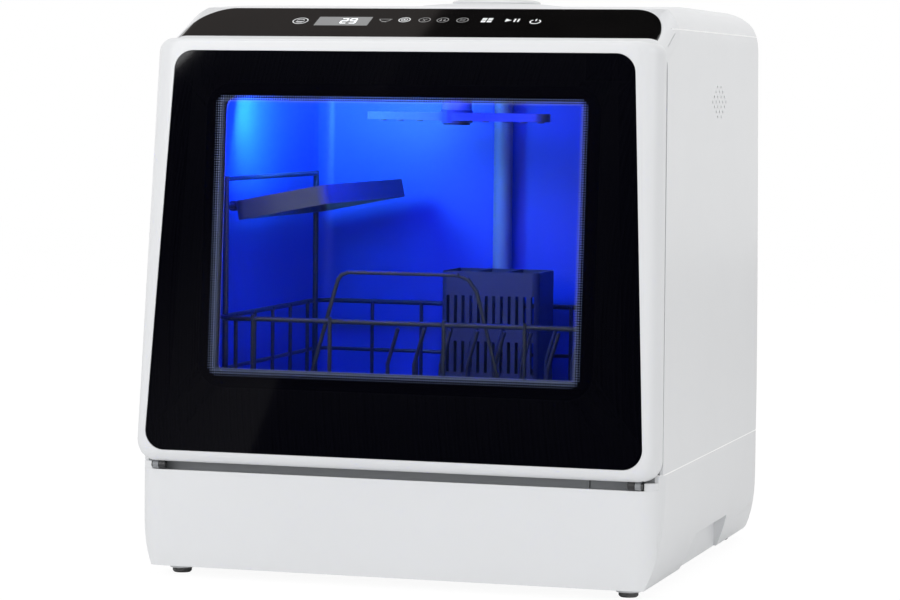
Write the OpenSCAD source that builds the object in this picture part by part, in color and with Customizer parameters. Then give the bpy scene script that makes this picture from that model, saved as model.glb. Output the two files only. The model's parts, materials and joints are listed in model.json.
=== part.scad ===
// Countertop dishwasher: front glass door, sloped touch panel, filler lid on top, one wire basket inside.
// x runs to the right, y to the back and z up. The origin is under the middle of the whole machine.
// Inside the modules y is measured from the front face of the base, and at() moves it to the frame.

/* [Cabinet] */
// Width across the cabinet at its lower seam
cabinet_w = 420; // [405:1:435]
// Depth from the front face of the base to the back
cabinet_d = 397; // [390:1:410]
// Height of the crown of the top cover above the counter
cabinet_h = 451; // [448:1:458]
// How far each side leans in between the lower and the upper seam
side_lean = 7; // [4:0.5:9]
// Wall of the moulded covers
wall = 2.5; // [2:0.1:3]
// Radius of the two front upright corners of the base
front_r = 22; // [16:1:26]
// Radius of the two rear upright corners
rear_r = 30; // [20:1:36]
// Radius between the top cover and the sides
crown_r = 32; // [26:1:36]
// Height of the front top edge of the base
base_top = 83.7; // [82:0.1:84]
// Height of the seam between base and side panels
side_seam = 95; // [93:0.5:97]
// How far the seam between side panels and top cover lies below the crown
seam_drop = 20.5; // [19:0.5:22]
// How far the foot of the base tucks in under its sides
base_tuck = 12; // [9:0.5:15]
// Width of the visible seams
seam_gap = 0.8; // [0.4:0.1:1.2]
// Free height under the base
foot_h = 8; // [6:0.5:10]
// Radius of a rubber foot
foot_r = 7.6; // [7:0.1:9]

/* [Grip notch] */
// Front end of the hand grip at the bottom edge
grip_y0 = 126; // [118:1:132]
// Where the slanted front end reaches the roof of the grip
grip_ramp = 148; // [140:1:156]
// Rear end of the hand grip
grip_y1 = 267; // [255:1:280]
// Height of the roof of the hand grip
grip_top = 34; // [32:0.5:36]
// Depth of the hand grip from the widest side
grip_depth = 14; // [13:0.5:18]

/* [Control panel] */
// Distance of the lower panel edge behind the base front
panel_y = 42; // [41.5:0.1:43]
// Rise of the panel from its lower edge to the crest
panel_rise = 23; // [22:0.1:23.4]
// Distance of the crest behind the base front
crest_y = 96; // [93:1:100]
// How far the crest lies below the crown
crest_drop = 5; // [4:0.5:6]
// Thickness of the black panel
strip_t = 2; // [1.6:0.1:2.4]
// Radius between the slope and the sides
slope_r = 18; // [16:0.5:20]
// Cover left beside the lower end of the black panel
strip_margin = 10; // [9:0.5:14]
// Width over which the sides of the black panel curve in
strip_side = 30; // [22:1:32]
// Width of the display window
display_w = 44; // [38:1:48]
// Depth of the display window along the slope
display_l = 18; // [16:1:20]
// Middle of the display window, left of centre
display_x = -66; // [-70:0.5:-60]

/* [Door] */
// How far the door leans back, in degrees
door_lean = 4.3; // [3.8:0.1:4.6]
// How far the foot of the door stands in front of the base
door_proud = 12.7; // [12:0.1:13]
// Height of the lower door edge above the counter
door_bottom = 91.5; // [91:0.1:92]
// Height left between the head of the door and the lower panel edge
head_gap = 2.43; // [2:0.01:3]
// Depth of the door frame
frame_t = 21; // [20:0.5:22]
// Rounding of the lower frame edge
frame_edge = 12; // [9:0.5:13]
// Flat rim left between the round sides of the frame and the glass
side_rim = 2; // [1.5:0.1:3]
// Radius of the lower door corners
door_low_r = 16; // [14:1:20]
// Radius of the upper door corners
door_high_r = 10; // [9.5:0.5:13]
// Thickness of the outer glass
glass_t = 4; // [3.2:0.1:5]
// Frame left at the side of the glass at its foot
glass_side_low = 11.5; // [10:0.5:13]
// Frame left at the side of the glass at its head
glass_side_high = 19; // [17:0.5:21]
// Frame left under the glass
glass_low = 9.3; // [8:0.1:10]
// Frame left above the glass
glass_high = 10; // [9:0.5:11]
// Radius of the glass corners
glass_r = 15; // [12:1:18]
// From the widest side of the cabinet to the clear window
window_side = 61.5; // [60:0.5:67]
// From the head of the door to the clear window
window_head = 43.7; // [42:0.1:50]
// Foot of the clear window above the foot of the door
window_low = 68.3; // [66:0.1:70]
// How far the inner door panel reaches into the tub
plug_t = 12; // [10:0.5:13]

/* [Hinge] */
// Distance of the door axis behind the base front
axis_y = 1; // [0.5:0.1:1.4]
// Height of the door axis
axis_z = 87.5; // [87.2:0.1:87.8]
// Radius of the hinge pin
pin_r = 1.5; // [1.3:0.05:1.7]
// Radius of the hinge knuckles
knuckle_r = 3.2; // [3:0.1:3.4]
// Distance of the knuckle pair from the widest side
knuckle_in = 24.5; // [23:0.5:30]
// Running clearance on a radius
run = 0.06; // [0.04:0.01:0.09]

/* [Tub] */
// From the widest side of the cabinet to the inner wall of the tub
tub_side = 40; // [39:0.5:43]
// Height of the tub floor
tub_floor = 112; // [111:0.5:113]
// How far the tub ceiling lies below the crown
tub_drop = 59; // [57:0.5:60]
// Room between the inner back wall of the tub and the back of the cabinet
rear_room = 79; // [78:1:81]
// Wall of the tub
tub_wall = 2.5; // [2:0.1:3]
// Rounding of the tub corners
tub_r = 16; // [12:1:20]
// Side margin between the tub wall and the front opening
lip_side = 2; // [1:0.5:3]
// Height of the front sill of the opening above the tub floor
lip_low = 4; // [3:0.5:5]

/* [Basket] */
// Radius of the coated wire
wire_r = 1.6; // [1.4:0.1:1.8]
// Radius of the rim wires
rim_r = 2; // [1.8:0.1:2.2]
// From the tub wall to the centre of the rim wires
basket_side = 10; // [8:0.5:16]
// Distance of the front rim behind the base front
basket_y0 = 45; // [44:0.5:47]
// From the rear rim to the inner back wall of the tub
basket_rear = 28; // [26:1:34]
// Height of the runner ledge on the tub walls
ledge_z = 127; // [126:0.5:128]
// Height of the lower front wire
front_low_z = 159; // [155:0.5:163]
// Height of the upper front wire
front_high_z = 200.5; // [196:0.5:205]
// Height of the cup guard
guard_z = 239; // [232:1:246]
// Height of the plate tines
tine_z = 193; // [185:1:200]
// Distance between plate tines
tine_pitch = 22; // [18:1:26]
// Number of plate tines in a row
tine_count = 8; // [5:1:8]

/* [Cup shelf] */
// Width of the cup shelf
shelf_w = 78; // [70:1:84]
// From the rims to the posts at both ends of the cup shelf
shelf_end = 12.5; // [12:0.5:24]
// How far the shelf pivot lies below the tub ceiling
shelf_drop = 104; // [100:1:112]
// Tilt of the shelf in degrees
shelf_tilt = 11; // [6:1:14]
// Thickness of the shelf rim
shelf_t = 15; // [12:1:17]

/* [Spray arms] */
// Distance of both spray arm axes in front of the back wall of the tub
arm_back = 153; // [148:1:158]
// Half length of the lower spray arm
low_arm_l = 112; // [100:1:114]
// Half length of the upper spray arm
high_arm_l = 96; // [85:1:100]
// Radius of the arm bearings
arm_pin_r = 8; // [7:0.5:9]
// Height of the hub of a spray arm
arm_hub_h = 10; // [9:0.5:11]

/* [Water] */
// Distance of the sump and its filter from the widest side
sump_side = 112; // [110:1:116]
// Distance of the sump behind the base front
sump_y = 84; // [82:1:88]
// Radius of the filter cup
filter_r = 30; // [26:1:31]
// Radius of the wash pump impeller
impeller_r = 24; // [20:0.5:25]
// Radius of the wash pump motor
motor_r = 30; // [26:1:31]
// Radius of the internal water pipes
pipe_r = 8; // [7:0.5:9]
// Radius of the drain spigot
drain_r = 9; // [8:0.5:10]
// Radius of the threaded inlet spigot
inlet_r = 13.2; // [12:0.1:13.5]
// How far the rear spigots stand out
port_reach = 14; // [12:0.5:18]
// Distance of the filler in front of the back of the cabinet
filler_back = 117; // [110:1:127]
// Radius of the filler ring on the top cover
ring_r = 65; // [58:1:68]
// Radius of the filler lid
lid_r = 37; // [34:0.5:40]
// Radius of the filler mouth
mouth_r = 29; // [26:0.5:30]

/* [Drying fan] */
// Distance of the side vent behind the base front
vent_y = 222; // [214:1:228]
// How far the side vent lies below the crown
vent_drop = 76; // [74:1:82]
// Radius of the fan wheel
fan_r = 22; // [18:0.5:23]

/* [Hidden] */
$fn = 48;
fit = 0.3;          // gap between soft or curved neighbours
eps = 0.01;
white = [0.93, 0.93, 0.92];
black = [0.03, 0.03, 0.035];
tubwhite = [0.86, 0.88, 0.9];
dark = [0.16, 0.17, 0.19];
steel = [0.7, 0.71, 0.72];
grey = [0.5, 0.51, 0.52];

cover_seam = cabinet_h - seam_drop;
crest_z = cabinet_h - crest_drop;
panel_z = crest_z - panel_rise;
door_len = (panel_z - head_gap - door_bottom) / cos(door_lean);
window_w = cabinet_w - 2 * window_side;
window_h = door_len - window_low - window_head;
knuckle_x = cabinet_w / 2 - knuckle_in;
tub_w = cabinet_w - 2 * tub_side;
tub_top = cabinet_h - tub_drop;
tub_back = cabinet_d - rear_room;
basket_w = tub_w - 2 * basket_side;
basket_y1 = tub_back - basket_rear;
shelf_z = tub_top - shelf_drop;
shelf_l = basket_y1 - basket_y0 - 2 * shelf_end - 8;
arm_y = tub_back - arm_back;
sump_x = cabinet_w / 2 - sump_side;
filler_y = cabinet_d - filler_back;
vent_z = cabinet_h - vent_drop;
door_reach = door_proud - frame_edge * sin(door_lean);
overall_d = door_reach + cabinet_d + port_reach;
front_shift = door_reach - overall_d / 2;
far = 2 * cabinet_d;                   // longer than the machine, for cutting prisms

// ---- places ----

module at() translate([0, front_shift, 0]) children();

// Door coordinates: x, n into the machine, h up along the door
function door_y(n, h) = -door_proud + n * cos(door_lean) + h * sin(door_lean);
function door_z(n, h) = door_bottom - n * sin(door_lean) + h * cos(door_lean);
function door_h(n, z) = (z - door_bottom + n * sin(door_lean)) / cos(door_lean);
module on_door() at() translate([0, -door_proud, door_bottom]) rotate([-door_lean, 0, 0]) children();

// Panel coordinates: x, v up the slope, w out of the slope
panel_angle = atan2(crest_z - panel_z, crest_y - panel_y);
panel_len = norm([crest_y - panel_y, crest_z - panel_z]);
module on_panel() at() translate([0, panel_y, panel_z]) rotate([panel_angle, 0, 0]) children();

// A flat outline given in y and z, drawn out along x
module along_x(w) rotate([90, 0, 90]) linear_extrude(w, center = true) children();
// A flat outline given in x and z, drawn out along y from y0 to y1
module along_y(y0, y1) translate([0, y1, 0]) rotate([90, 0, 0]) linear_extrude(y1 - y0) children();

module both_sides() {
    children();
    mirror([1, 0, 0]) children();
}

module round_rect(w, h, r) {
    square([w - 2 * r, h], center = true);
    square([w, h - 2 * r], center = true);
    for (x = [-1, 1], y = [-1, 1]) translate([x * (w / 2 - r), y * (h / 2 - r)]) circle(r);
}

// Round bar between two points
module bar(a, b, r) {
    d = b - a;
    translate(a) rotate([0, acos(d.z / norm(d)), atan2(d.y, d.x)]) cylinder(r = r, h = norm(d));
}

// Quarter bend in a pipe, from +x round to +y about its own corner
module bend(bend_r, r, angle = 90) rotate_extrude(angle = angle) translate([bend_r, 0]) circle(r);

// ---- outer form of the cabinet, inset by i ----

tuck_steps = 10;
tuck_curve = 3.5;
arc_step = 11.25;
crown_y = 230;                       // where the top reaches its full height
crown_z = cabinet_h - crown_r;
lip_run = 7.5;                       // the slope goes on this far below the panel, to its lip
lip_y = panel_y - lip_run;
rear_top_r = 26;
rear_foot_r = 14;
ridge_steps = 6;
seat = wall + strip_t;

function half_w(z) = cabinet_w / 2 - side_lean * max(0, z - side_seam) / (cover_seam - side_seam);
function tuck(z) = base_tuck * pow(max(0, side_seam - z) / (side_seam - foot_h), tuck_curve);
function flank(i) = concat(
    [for (k = [0:tuck_steps]) let (z = foot_h + i + (side_seam - foot_h - i) * k / tuck_steps)
        [half_w(z) - tuck(z) - i, z]],
    [for (a = [0:arc_step:90])
        [half_w(crown_z) - crown_r + (crown_r - i) * cos(a), crown_z + (crown_r - i) * sin(a)]]);
function crown_at(t) = [crest_y + (crown_y - crest_y) * t, crest_z + (cabinet_h - crest_z) * sin(90 * t)];
function side_outline(i) = concat(
    [[i, foot_h + i]],
    [for (a = [-90:arc_step * 2:0])
        [cabinet_d - rear_foot_r + (rear_foot_r - i) * cos(a), foot_h + rear_foot_r
            + (rear_foot_r - i) * sin(a)]],
    [for (a = [0:arc_step:90])
        [cabinet_d - rear_top_r + (rear_top_r - i) * cos(a), cabinet_h - rear_top_r
            + (rear_top_r - i) * sin(a)]],
    [for (k = [ridge_steps:-1:1]) crown_at(k / ridge_steps) + [i > 0 ? 2 * i : 0, -i]],
    i > 0 ? [[crest_y + 2 * i, crest_z - i], [crest_y, crest_z - i - strip_t],
        [panel_y + i, panel_z - i - strip_t]]
        : [crown_at(-0.15), [lip_y - 8, crown_at(-0.15).y]],
    [[door_y(i, door_h(0, panel_z - seat - 1)), panel_z - seat - 1], [door_y(i, 0), base_top + 2],
        [i, base_top + 2]]);

// The points p and their mirror image, as one closed outline
function mirrored(p) = concat(p, [for (k = [len(p) - 1:-1:0]) [-p[k].x, p[k].y]]);

module elevation(i) polygon(mirrored(flank(i)));

module plan(i) {
    w = cabinet_w / 2;
    translate([-w + i, front_r]) square([2 * (w - i), cabinet_d - front_r - rear_r]);
    translate([-w + front_r, i]) square([2 * (w - front_r), cabinet_d / 2]);
    translate([-w + rear_r, cabinet_d / 2 - 1]) square([2 * (w - rear_r), cabinet_d / 2 + 1 - i]);
    for (s = [-1, 1]) {
        translate([s * (w - front_r), front_r]) circle(front_r - i);
        translate([s * (w - rear_r), cabinet_d - rear_r]) circle(rear_r - i);
    }
}

// Cross-section of the slope, lowered by d: flat in the middle, round at both sides, open below
module slope_section(d) {
    w = half_w(panel_z - slope_r) - slope_r;
    hull() {
        for (s = [-1, 1]) translate([s * w, -slope_r]) circle(slope_r - d);
        polygon([[-w - 3 * slope_r, -far], [0, 1 - far], [w + 3 * slope_r, -far]]);
    }
}

module slope_bar(d) translate([0, panel_y, panel_z]) rotate([panel_angle, 0, 0]) along_y(-far, far)
    slope_section(d);

// Depth of an inner surface under the slope, for the same surface i inside elsewhere
function slope_wall(i) = i + strip_t - 1;

// Below the door the outline is round at the front too; above it the front is open
module envelope(i) intersection() {
    along_y(-far, far) elevation(i);
    slope_bar(i > 0 ? slope_wall(i) : 0);
    along_x(far) polygon(side_outline(i));
    union() {
        linear_extrude(side_seam) plan(i);
        translate([0, 0, side_seam - eps]) linear_extrude(cabinet_h) open_plan(i);
    }
}

module open_plan(i) {
    w = cabinet_w / 2;
    translate([-w, -far]) square([2 * w, far + cabinet_d - rear_r]);
    translate([-w + rear_r, 0]) square([2 * (w - rear_r), cabinet_d - i]);
    for (s = [-1, 1]) translate([s * (w - rear_r), cabinet_d - rear_r]) circle(rear_r - i);
}

// ---- housing ----

step_y = door_y(frame_t, 0) + 2;       // behind this the base rises to the side seam
seam_n = frame_t + 1.5;                // depth of the open edge of cabinet and cover behind the door face

module base_zone() polygon([[-1, 0], [-1, base_top], [step_y, base_top], [step_y, side_seam - seam_gap / 2],
    [cabinet_d + 1, side_seam - seam_gap / 2], [cabinet_d + 1, 0]]);

module grip_void(g) both_sides() translate([cabinet_w - grip_depth - g, 0, 0])
    along_x(cabinet_w) polygon([[grip_y0 - 2 * g, foot_h - 1], [grip_ramp - g, grip_top + g],
        [grip_y1 + g, grip_top + g], [grip_y1 + g, foot_h - 1]]);

foot_x = cabinet_w / 2 - 29;
foot_ys = [26, cabinet_d - 34];
posts = [for (s = [-1, 1]) each [[s * (tub_w / 2 - 20), 62], [s * (tub_w / 2 - 50), tub_back - 22]]];
pump_x = -56;                          // middle of the wash motor
pump_y = sump_y;
pump_z = 52;
rib_t = 2.5;
rib_h = 7;
base_floor = foot_h + wall;
tub_under = tub_floor - tub_wall;

module base_tray() color(white) at() difference() {
    union() {
        difference() {
            intersection() {
                envelope(0);
                along_x(far) base_zone();
            }
            envelope(wall);
        }
        intersection() {
            envelope(wall / 2);
            union() {
                grip_void(wall);
                // stiffening ribs and the posts that carry the tub
                for (x = [-120, -40, 40, 120]) translate([x - rib_t / 2, 0, foot_h + eps])
                    cube([rib_t, cabinet_d, rib_h]);
                for (y = [40, 140, 230, 330]) translate([-cabinet_w / 2, y, foot_h + eps])
                    cube([cabinet_w, rib_t, rib_h]);
                for (p = posts) translate([p.x, p.y, foot_h + eps])
                    cylinder(r = 7, h = tub_under - foot_h - eps);
                for (x = [-60, 60]) translate([x, tank_y0 + tank_d / 2, foot_h + eps])
                    cylinder(r = 7, h = tank_z0 - foot_h - eps);
                // saddles under the wash pump, the heater and the drain pump
                for (x = [pump_x - 26, pump_x + 22]) translate([x, pump_y - motor_r * 0.8, foot_h + eps])
                    cube([5, motor_r * 1.6, pump_z - foot_h - motor_r * 0.5]);
                translate([drain_x - 14, drain_y + 24, foot_h + eps])
                    cube([28, 5, drain_z - foot_h - drain_body_r * 0.4]);
                translate([inlet_x - 14, inlet_pump_y - 3, foot_h + eps])
                    cube([28, 5, inlet_pump_z - foot_h - inlet_pump_r * 0.4]);
            }
        }
        for (x = [-foot_x, foot_x], y = foot_ys) translate([x, y, foot_h / 2])
            cylinder(r = foot_r + 2, h = foot_h);
    }
    grip_void(0);
    for (x = [-foot_x, foot_x], y = foot_ys) translate([x, y, -1]) {
        cylinder(r = foot_r + fit, h = foot_h / 2 + 2);
        cylinder(r = 2, h = foot_h * 2);
    }
    translate([pump_x, pump_y, pump_z]) rotate([0, 90, 0])
        cylinder(r = motor_r + fit, h = 120, center = true);
    translate([drain_x, drain_y, drain_z]) rotate([-90, 0, 0]) cylinder(r = drain_body_r + fit, h = 90);
    translate([inlet_x, inlet_pump_y - 40, inlet_pump_z]) rotate([-90, 0, 0])
        cylinder(r = inlet_pump_r + fit, h = 80);
    // holes for the rear fittings
    translate([drain_x, cabinet_d - 10, port_z]) rotate([-90, 0, 0]) cylinder(r = drain_r + fit, h = 20);
    translate([inlet_x, cabinet_d - 10, port_z]) rotate([-90, 0, 0]) cylinder(r = inlet_r + fit, h = 20);
    translate([gland_x, cabinet_d - 10, port_z]) rotate([-90, 0, 0]) cylinder(r = gland_r, h = 20);
    // air slots in the back
    for (k = [-3:3]) translate([slot_x + k * 8, cabinet_d, port_z]) cube([3.5, 4 * wall, 26], center = true);
    // drain holes in the floor under the sump
    for (k = [-2:2]) translate([sump_x + k * 9, sump_y, foot_h]) cube([4, 40, 4 * wall], center = true);
}

module panel_zone() polygon([[door_y(seam_n, 0), side_seam + seam_gap / 2],
    [door_y(seam_n, door_h(seam_n, cover_seam)), cover_seam - seam_gap / 2],
    [cabinet_d + 1, cover_seam - seam_gap / 2], [cabinet_d + 1, side_seam + seam_gap / 2]]);

lap_x = cabinet_w / 2 - 45;                           // where the side panels end on the back

// The slope of the cover runs on between the side panels down to the front lip
nose_z = panel_z - seat - 2;
nose_y = panel_y + (cover_seam + 0.6 - panel_z) / tan(panel_angle) + slope_wall(wall) / sin(panel_angle) + 1;
module nose(g) translate([-half_w(cover_seam) + wall + fit - g, lip_y - 5, nose_z])
    cube([2 * (half_w(cover_seam) - wall - fit + g), nose_y - lip_y + 5, cover_seam + 0.6 - nose_z]);

module side_shell() intersection() {
    difference() {
        envelope(0);
        envelope(wall);
        nose(fit - 0.05);
    }
    along_x(far) panel_zone();
    translate([lap_x, -far, 0]) cube([far, 2 * far, far]);
}

vent_r = 1.4;
vent_dy = 6.5;
vent_dz = 4;

module left_side_panel() color(white) at() mirror([1, 0, 0]) side_shell();

module right_side_panel() color(white) at() difference() {
    side_shell();
    for (i = [-4:4], j = [-3:3])
        if ((i + j) % 2 == 0 && abs(i) / 5 + abs(j) / 4 < 1)
            translate([cabinet_w / 2 - 20, vent_y + i * vent_dy, vent_z + j * vent_dz])
                rotate([0, 90, 0]) cylinder(r = vent_r, h = 30, $fn = 16);
}

screw_zs = [side_seam + 17, (side_seam + cover_seam) / 2, cover_seam - 16.5];

module rear_cover() color(white) at() difference() {
    union() {
        translate([-lap_x + seam_gap, cabinet_d - wall, side_seam + seam_gap / 2])
            cube([2 * (lap_x - seam_gap), wall, cover_seam - side_seam - seam_gap]);
        // lap strips behind the side panels
        both_sides() translate([lap_x - 20, cabinet_d - 2 * wall - fit, side_seam + 4])
            cube([30, wall, cover_seam - side_seam - 8]);
        both_sides() translate([lap_x - 20, cabinet_d - 2 * wall - fit, side_seam + 4])
            cube([8, wall + fit + eps, cover_seam - side_seam - 8]);
        for (z = [side_seam + 95, cover_seam - 90]) translate([-120, cabinet_d - wall - 4, z])
            cube([240, 4 + eps, rib_t]);
    }
    for (s = [-1, 1], z = screw_zs) translate([s * (lap_x - 16), cabinet_d - 4 * wall, z])
        rotate([-90, 0, 0]) cylinder(r = 1.8, h = 20);
    // outlet slots of the drying air
    for (k = [0:7]) translate([0, cabinet_d, cover_seam - 68.5 + k * 6]) cube([90, 12, 2.6], center = true);
}

module cover_zone() polygon([[lip_y - 5, cover_seam + seam_gap / 2],
    [cabinet_d + 1, cover_seam + seam_gap / 2], [cabinet_d + 1, cabinet_h + 20],
        [lip_y - 5, cabinet_h + 20]]);

strip_low = -1;
strip_high = panel_len - 0.7;
strip_end = half_w(panel_z) - strip_margin;

// Outline of the black panel, smaller by d: a straight foot, the sides curve in towards the top
module strip_outline(d) polygon(mirrored(concat([[strip_end - d, strip_low + d]],
    [for (a = [0:arc_step / 2:90]) [strip_end - strip_side + (strip_side - d) * cos(a),
        strip_low + 4 + (strip_high - strip_low - 4 - d) * sin(a)]])));

// The black panel follows the rounded slope
module strip_skin(d) difference() {
    translate([0, 0, -slope_r]) linear_extrude(2 * slope_r) strip_outline(d);
    along_y(-far, far) slope_section(strip_t);
}

display_v = panel_len / 2 + 1.7;
module display_area(d) translate([display_x, display_v])
    square([display_w - 2 * d, display_l - 2 * d], center = true);

board_w = tub_w - 24;
boss_xs = [8 - board_w / 2, -24.2, 60.5, board_w / 2 - 8];
board_v = 9;
board_l = 46;
board_gap = 5;

module top_cover() color(white) difference() {
    union() {
        at() intersection() {
            difference() {
                envelope(0);
                envelope(wall);
            }
            union() {
                along_x(far) cover_zone();
                intersection() {
                    nose(0);
                    translate([-far / 2, lip_y, 0]) cube(far);
                }
            }
        }
        // posts for the control board under the slope
        on_panel() for (x = boss_xs) translate([x, board_v + board_l / 2, -seat - board_gap + 0.2])
            cylinder(r = 3, h = board_gap);
        at() translate([0, filler_y, cabinet_h - 6 - wall]) cylinder(r = mouth_r + 3, h = 6);
    }
    on_panel() strip_skin(-0.3);
    // ribbon slot behind the panel
    on_panel() translate([display_x - 15, board_v + 6, -2 * seat]) cube([30, 8, 3 * seat]);
    at() translate([0, filler_y, cabinet_h - 20]) cylinder(r = mouth_r + 0.1, h = 40);
}

module front_sill() color(grey) at() difference() {
    intersection() {
        translate([-cabinet_w / 2, 0, 0]) {
            translate([0, sill_y, base_top - 6.7]) cube([cabinet_w, 12, side_seam - base_top + 7.2]);
            translate([0, wall + fit, base_top - 3.2]) cube([cabinet_w, 12, 2.7]);
        }
        envelope(wall + fit);
    }
    // notches for the hinge ears and the lock slit
    both_sides() translate([ear_x - fit, sill_y - 1, axis_z - knuckle_r - fit])
        cube([ear_w + 2 * fit, 20, 2 * knuckle_r + 2 * fit]);
    translate([knuckle_x - 32.5, sill_y - 1, base_top - 1.7]) cube([1, 3, 8]);
}

sill_y = 10.5;
ear_w = 4.5;
lug_w = 5;
ear_x = knuckle_x + lug_w + 0.5;

module feet() color([0.1, 0.1, 0.1]) at() for (x = [-foot_x, foot_x], y = foot_ys) translate([x, y, 0])
    rotate_extrude() polygon([[0, 0], [foot_r - 1.2, 0], [foot_r, 1.2], [foot_r, foot_h / 2 + 0.8],
        [1.9, foot_h / 2 + 0.8], [1.9, base_floor + 1], [0, base_floor + 1]]);

module cabinet_screws() color(steel) at() for (s = [-1, 1], z = screw_zs)
    translate([s * (lap_x - 16), cabinet_d, z]) rotate([90, 0, 0]) rotate_extrude()
        polygon([[0, -2.1], [2.4, -1.7], [3.2, -0.05], [1.7, -0.05], [1.7, 9], [0, 10.5]]);

module control_panel() color(black) on_panel() difference() {
    intersection() {
        strip_skin(0);
        along_y(-far, far) slope_section(0);
    }
    translate([0, 0, -strip_t - 1]) linear_extrude(strip_t + 2) display_area(-0.1);
}

module display_window() color([0.45, 0.46, 0.48]) on_panel()
    translate([0, 0, -strip_t + eps]) linear_extrude(strip_t - 2 * eps) display_area(0);

module control_board() color([0.1, 0.4, 0.25]) on_panel() {
    translate([-board_w / 2, board_v, -seat - board_gap - 1.6]) cube([board_w, board_l, 1.6]);
    // display block and the touch springs
    translate([display_x - 19, display_v - 8, -seat - board_gap - eps]) cube([38, 16, board_gap - 1.5]);
    for (x = icon_xs) translate([x, icon_v, -seat - board_gap - eps]) cylinder(r = 3.5, h = board_gap - 0.3);
    // power parts on the underside
    for (x = [-120, -80, 26, 70, 110]) translate([x, board_v + 12, -seat - board_gap - 1.6 - 9])
        cube([18, 14, 9.1]);
}

icon_v = 32;
icon_xs = [-101.5, -32, -16.5, -0.5, 14.5, 30.5, 50.5, 70.5, 90];

// ---- filler ----

ring_h = 3.4;
lid_z = cabinet_h + ring_h + 0.4;
lid_rise = 5;
lid_hinge_y = filler_y + lid_r + 4;
lid_hinge_z = lid_z + 1.4;

module filler_ring() color(white) at() translate([0, filler_y, cabinet_h + 0.05]) difference() {
    union() {
        rotate_extrude() polygon([[mouth_r - 2, -7], [mouth_r, -7], [mouth_r, 0], [ring_r, 0],
            [ring_r - 3, 1.6],
            [lid_r + 9, ring_h - 0.4], [lid_r + 4, ring_h], [mouth_r - 2, ring_h]]);
        for (s = [-1, 1]) translate([s * 11, lid_hinge_y - filler_y, ring_h - 0.5]) {
            translate([-2, -2.2, 0]) cube([4, 4.4, 2.4]);
            translate([0, 0, 2.25]) rotate([0, 90, 0]) cylinder(r = 2.2, h = 4, center = true);
        }
    }
    // hinge bore through both ears
    translate([0, lid_hinge_y - filler_y, ring_h + 1.75]) rotate([0, 90, 0])
        cylinder(r = 1 + run, h = 40, center = true);
    translate([0, lid_r + 3, ring_h]) cube([18.4, 12, 3], center = true);
}

module filler_lid() color(white) at() {
    translate([0, filler_y, lid_z]) difference() {
        rotate_extrude() polygon(concat([[0, 0], [lid_r, 0], [lid_r, 1.2]],
            [for (a = [15:15:90]) [lid_r * cos(a), 1.2 + (lid_rise - 1.2) * sin(a)]]));
        // finger dip at the front edge
        translate([0, -lid_r - 2, lid_rise + 6]) sphere(r = 9);
    }
    translate([0, filler_y, lid_z - 4]) difference() {
        cylinder(r = mouth_r - 2.6, h = 4 + eps);
        translate([0, 0, -1]) cylinder(r = mouth_r - 4.6, h = 5);
    }
    // arm and hinge pin at the back
    translate([-8, filler_y + lid_r - 4, lid_z]) cube([16, lid_hinge_y - filler_y - lid_r + 4, 1.6]);
    translate([0, lid_hinge_y, lid_hinge_z]) rotate([0, 90, 0]) {
        cylinder(r = 2.1, h = 17, center = true);
        cylinder(r = 1, h = 27, center = true);
    }
}

tank_y0 = tub_back + tub_wall + 4;
tank_d = 46;
tank_w = tub_w - 40;
tank_z0 = 104;
tank_top = tub_top - 2;
neck_y = tank_y0 + tank_d / 2;
funnel_z = tub_top + 8;

// Funnel under the lid: a dish, a sloping channel and a spout into the neck of the tank
module filler_funnel() color(tubwhite) at() difference() {
    union() {
        translate([0, filler_y, 0]) rotate_extrude()
            polygon([[mouth_r - 3, cabinet_h - 7], [mouth_r - 3, funnel_z + 12],
            [0, funnel_z + 2], [0, funnel_z], [mouth_r - 1, funnel_z + 10.5], [mouth_r - 1, cabinet_h - 7]]);
        translate([-13, filler_y, funnel_z]) cube([26, neck_y - filler_y + 13, 16]);
        translate([0, neck_y, tank_top - 6]) cylinder(r = 11, h = 22);
    }
    translate([0, filler_y, funnel_z + 4]) cylinder(r1 = 6, r2 = mouth_r - 3, h = 10);
    translate([0, filler_y, funnel_z + 13.9]) cylinder(r = mouth_r - 3, h = cabinet_h - funnel_z);
    translate([-11, filler_y, funnel_z + 3]) cube([22, neck_y - filler_y + 11, 11]);
    translate([0, neck_y, tank_top - 7]) cylinder(r = 9, h = 24);
}

module water_tank() color(tubwhite) at() difference() {
    union() {
        translate([0, 0, (tank_z0 + tank_top) / 2]) along_tank(tank_w, tank_top - tank_z0, 14, tank_d);
        translate([0, neck_y, tank_top - 1]) cylinder(r = 15, h = 3);
        translate([inlet_x + 60, neck_y, tank_z0 - 6]) cylinder(r = 8, h = 8);
    }
    translate([0, wall, (tank_z0 + tank_top) / 2])
        along_tank(tank_w - 2 * wall, tank_top - tank_z0 - 2 * wall, 12, tank_d - 2 * wall);
    translate([0, neck_y, tank_top - 10]) cylinder(r = 11 + fit, h = 20);
    translate([inlet_x + 60, neck_y, tank_z0 - 10]) cylinder(r = 5, h = 20);
    // pressed grooves that stiffen the long faces
    for (x = [-90, 0, 90]) translate([x - 5, tank_y0 - 1, tank_z0 + 40])
        cube([10, 2.2, tank_top - tank_z0 - 80]);
}

module along_tank(w, h, r, d) translate([0, tank_y0 + d, 0]) rotate([90, 0, 0]) linear_extrude(d)
    round_rect(w, h, r);

// ---- tub ----

function mid(a, b) = (a + b) / 2;
lip_z = tub_floor + lip_low;

module tub_block(i, y1) intersection() {
    translate([0, 0, mid(tub_floor, tub_top)]) along_y(-60, y1 - i)
        round_rect(tub_w - 2 * i, tub_top - tub_floor - 2 * i, tub_r - i);
    linear_extrude(cabinet_h) tub_plan(i, y1);
}

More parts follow.
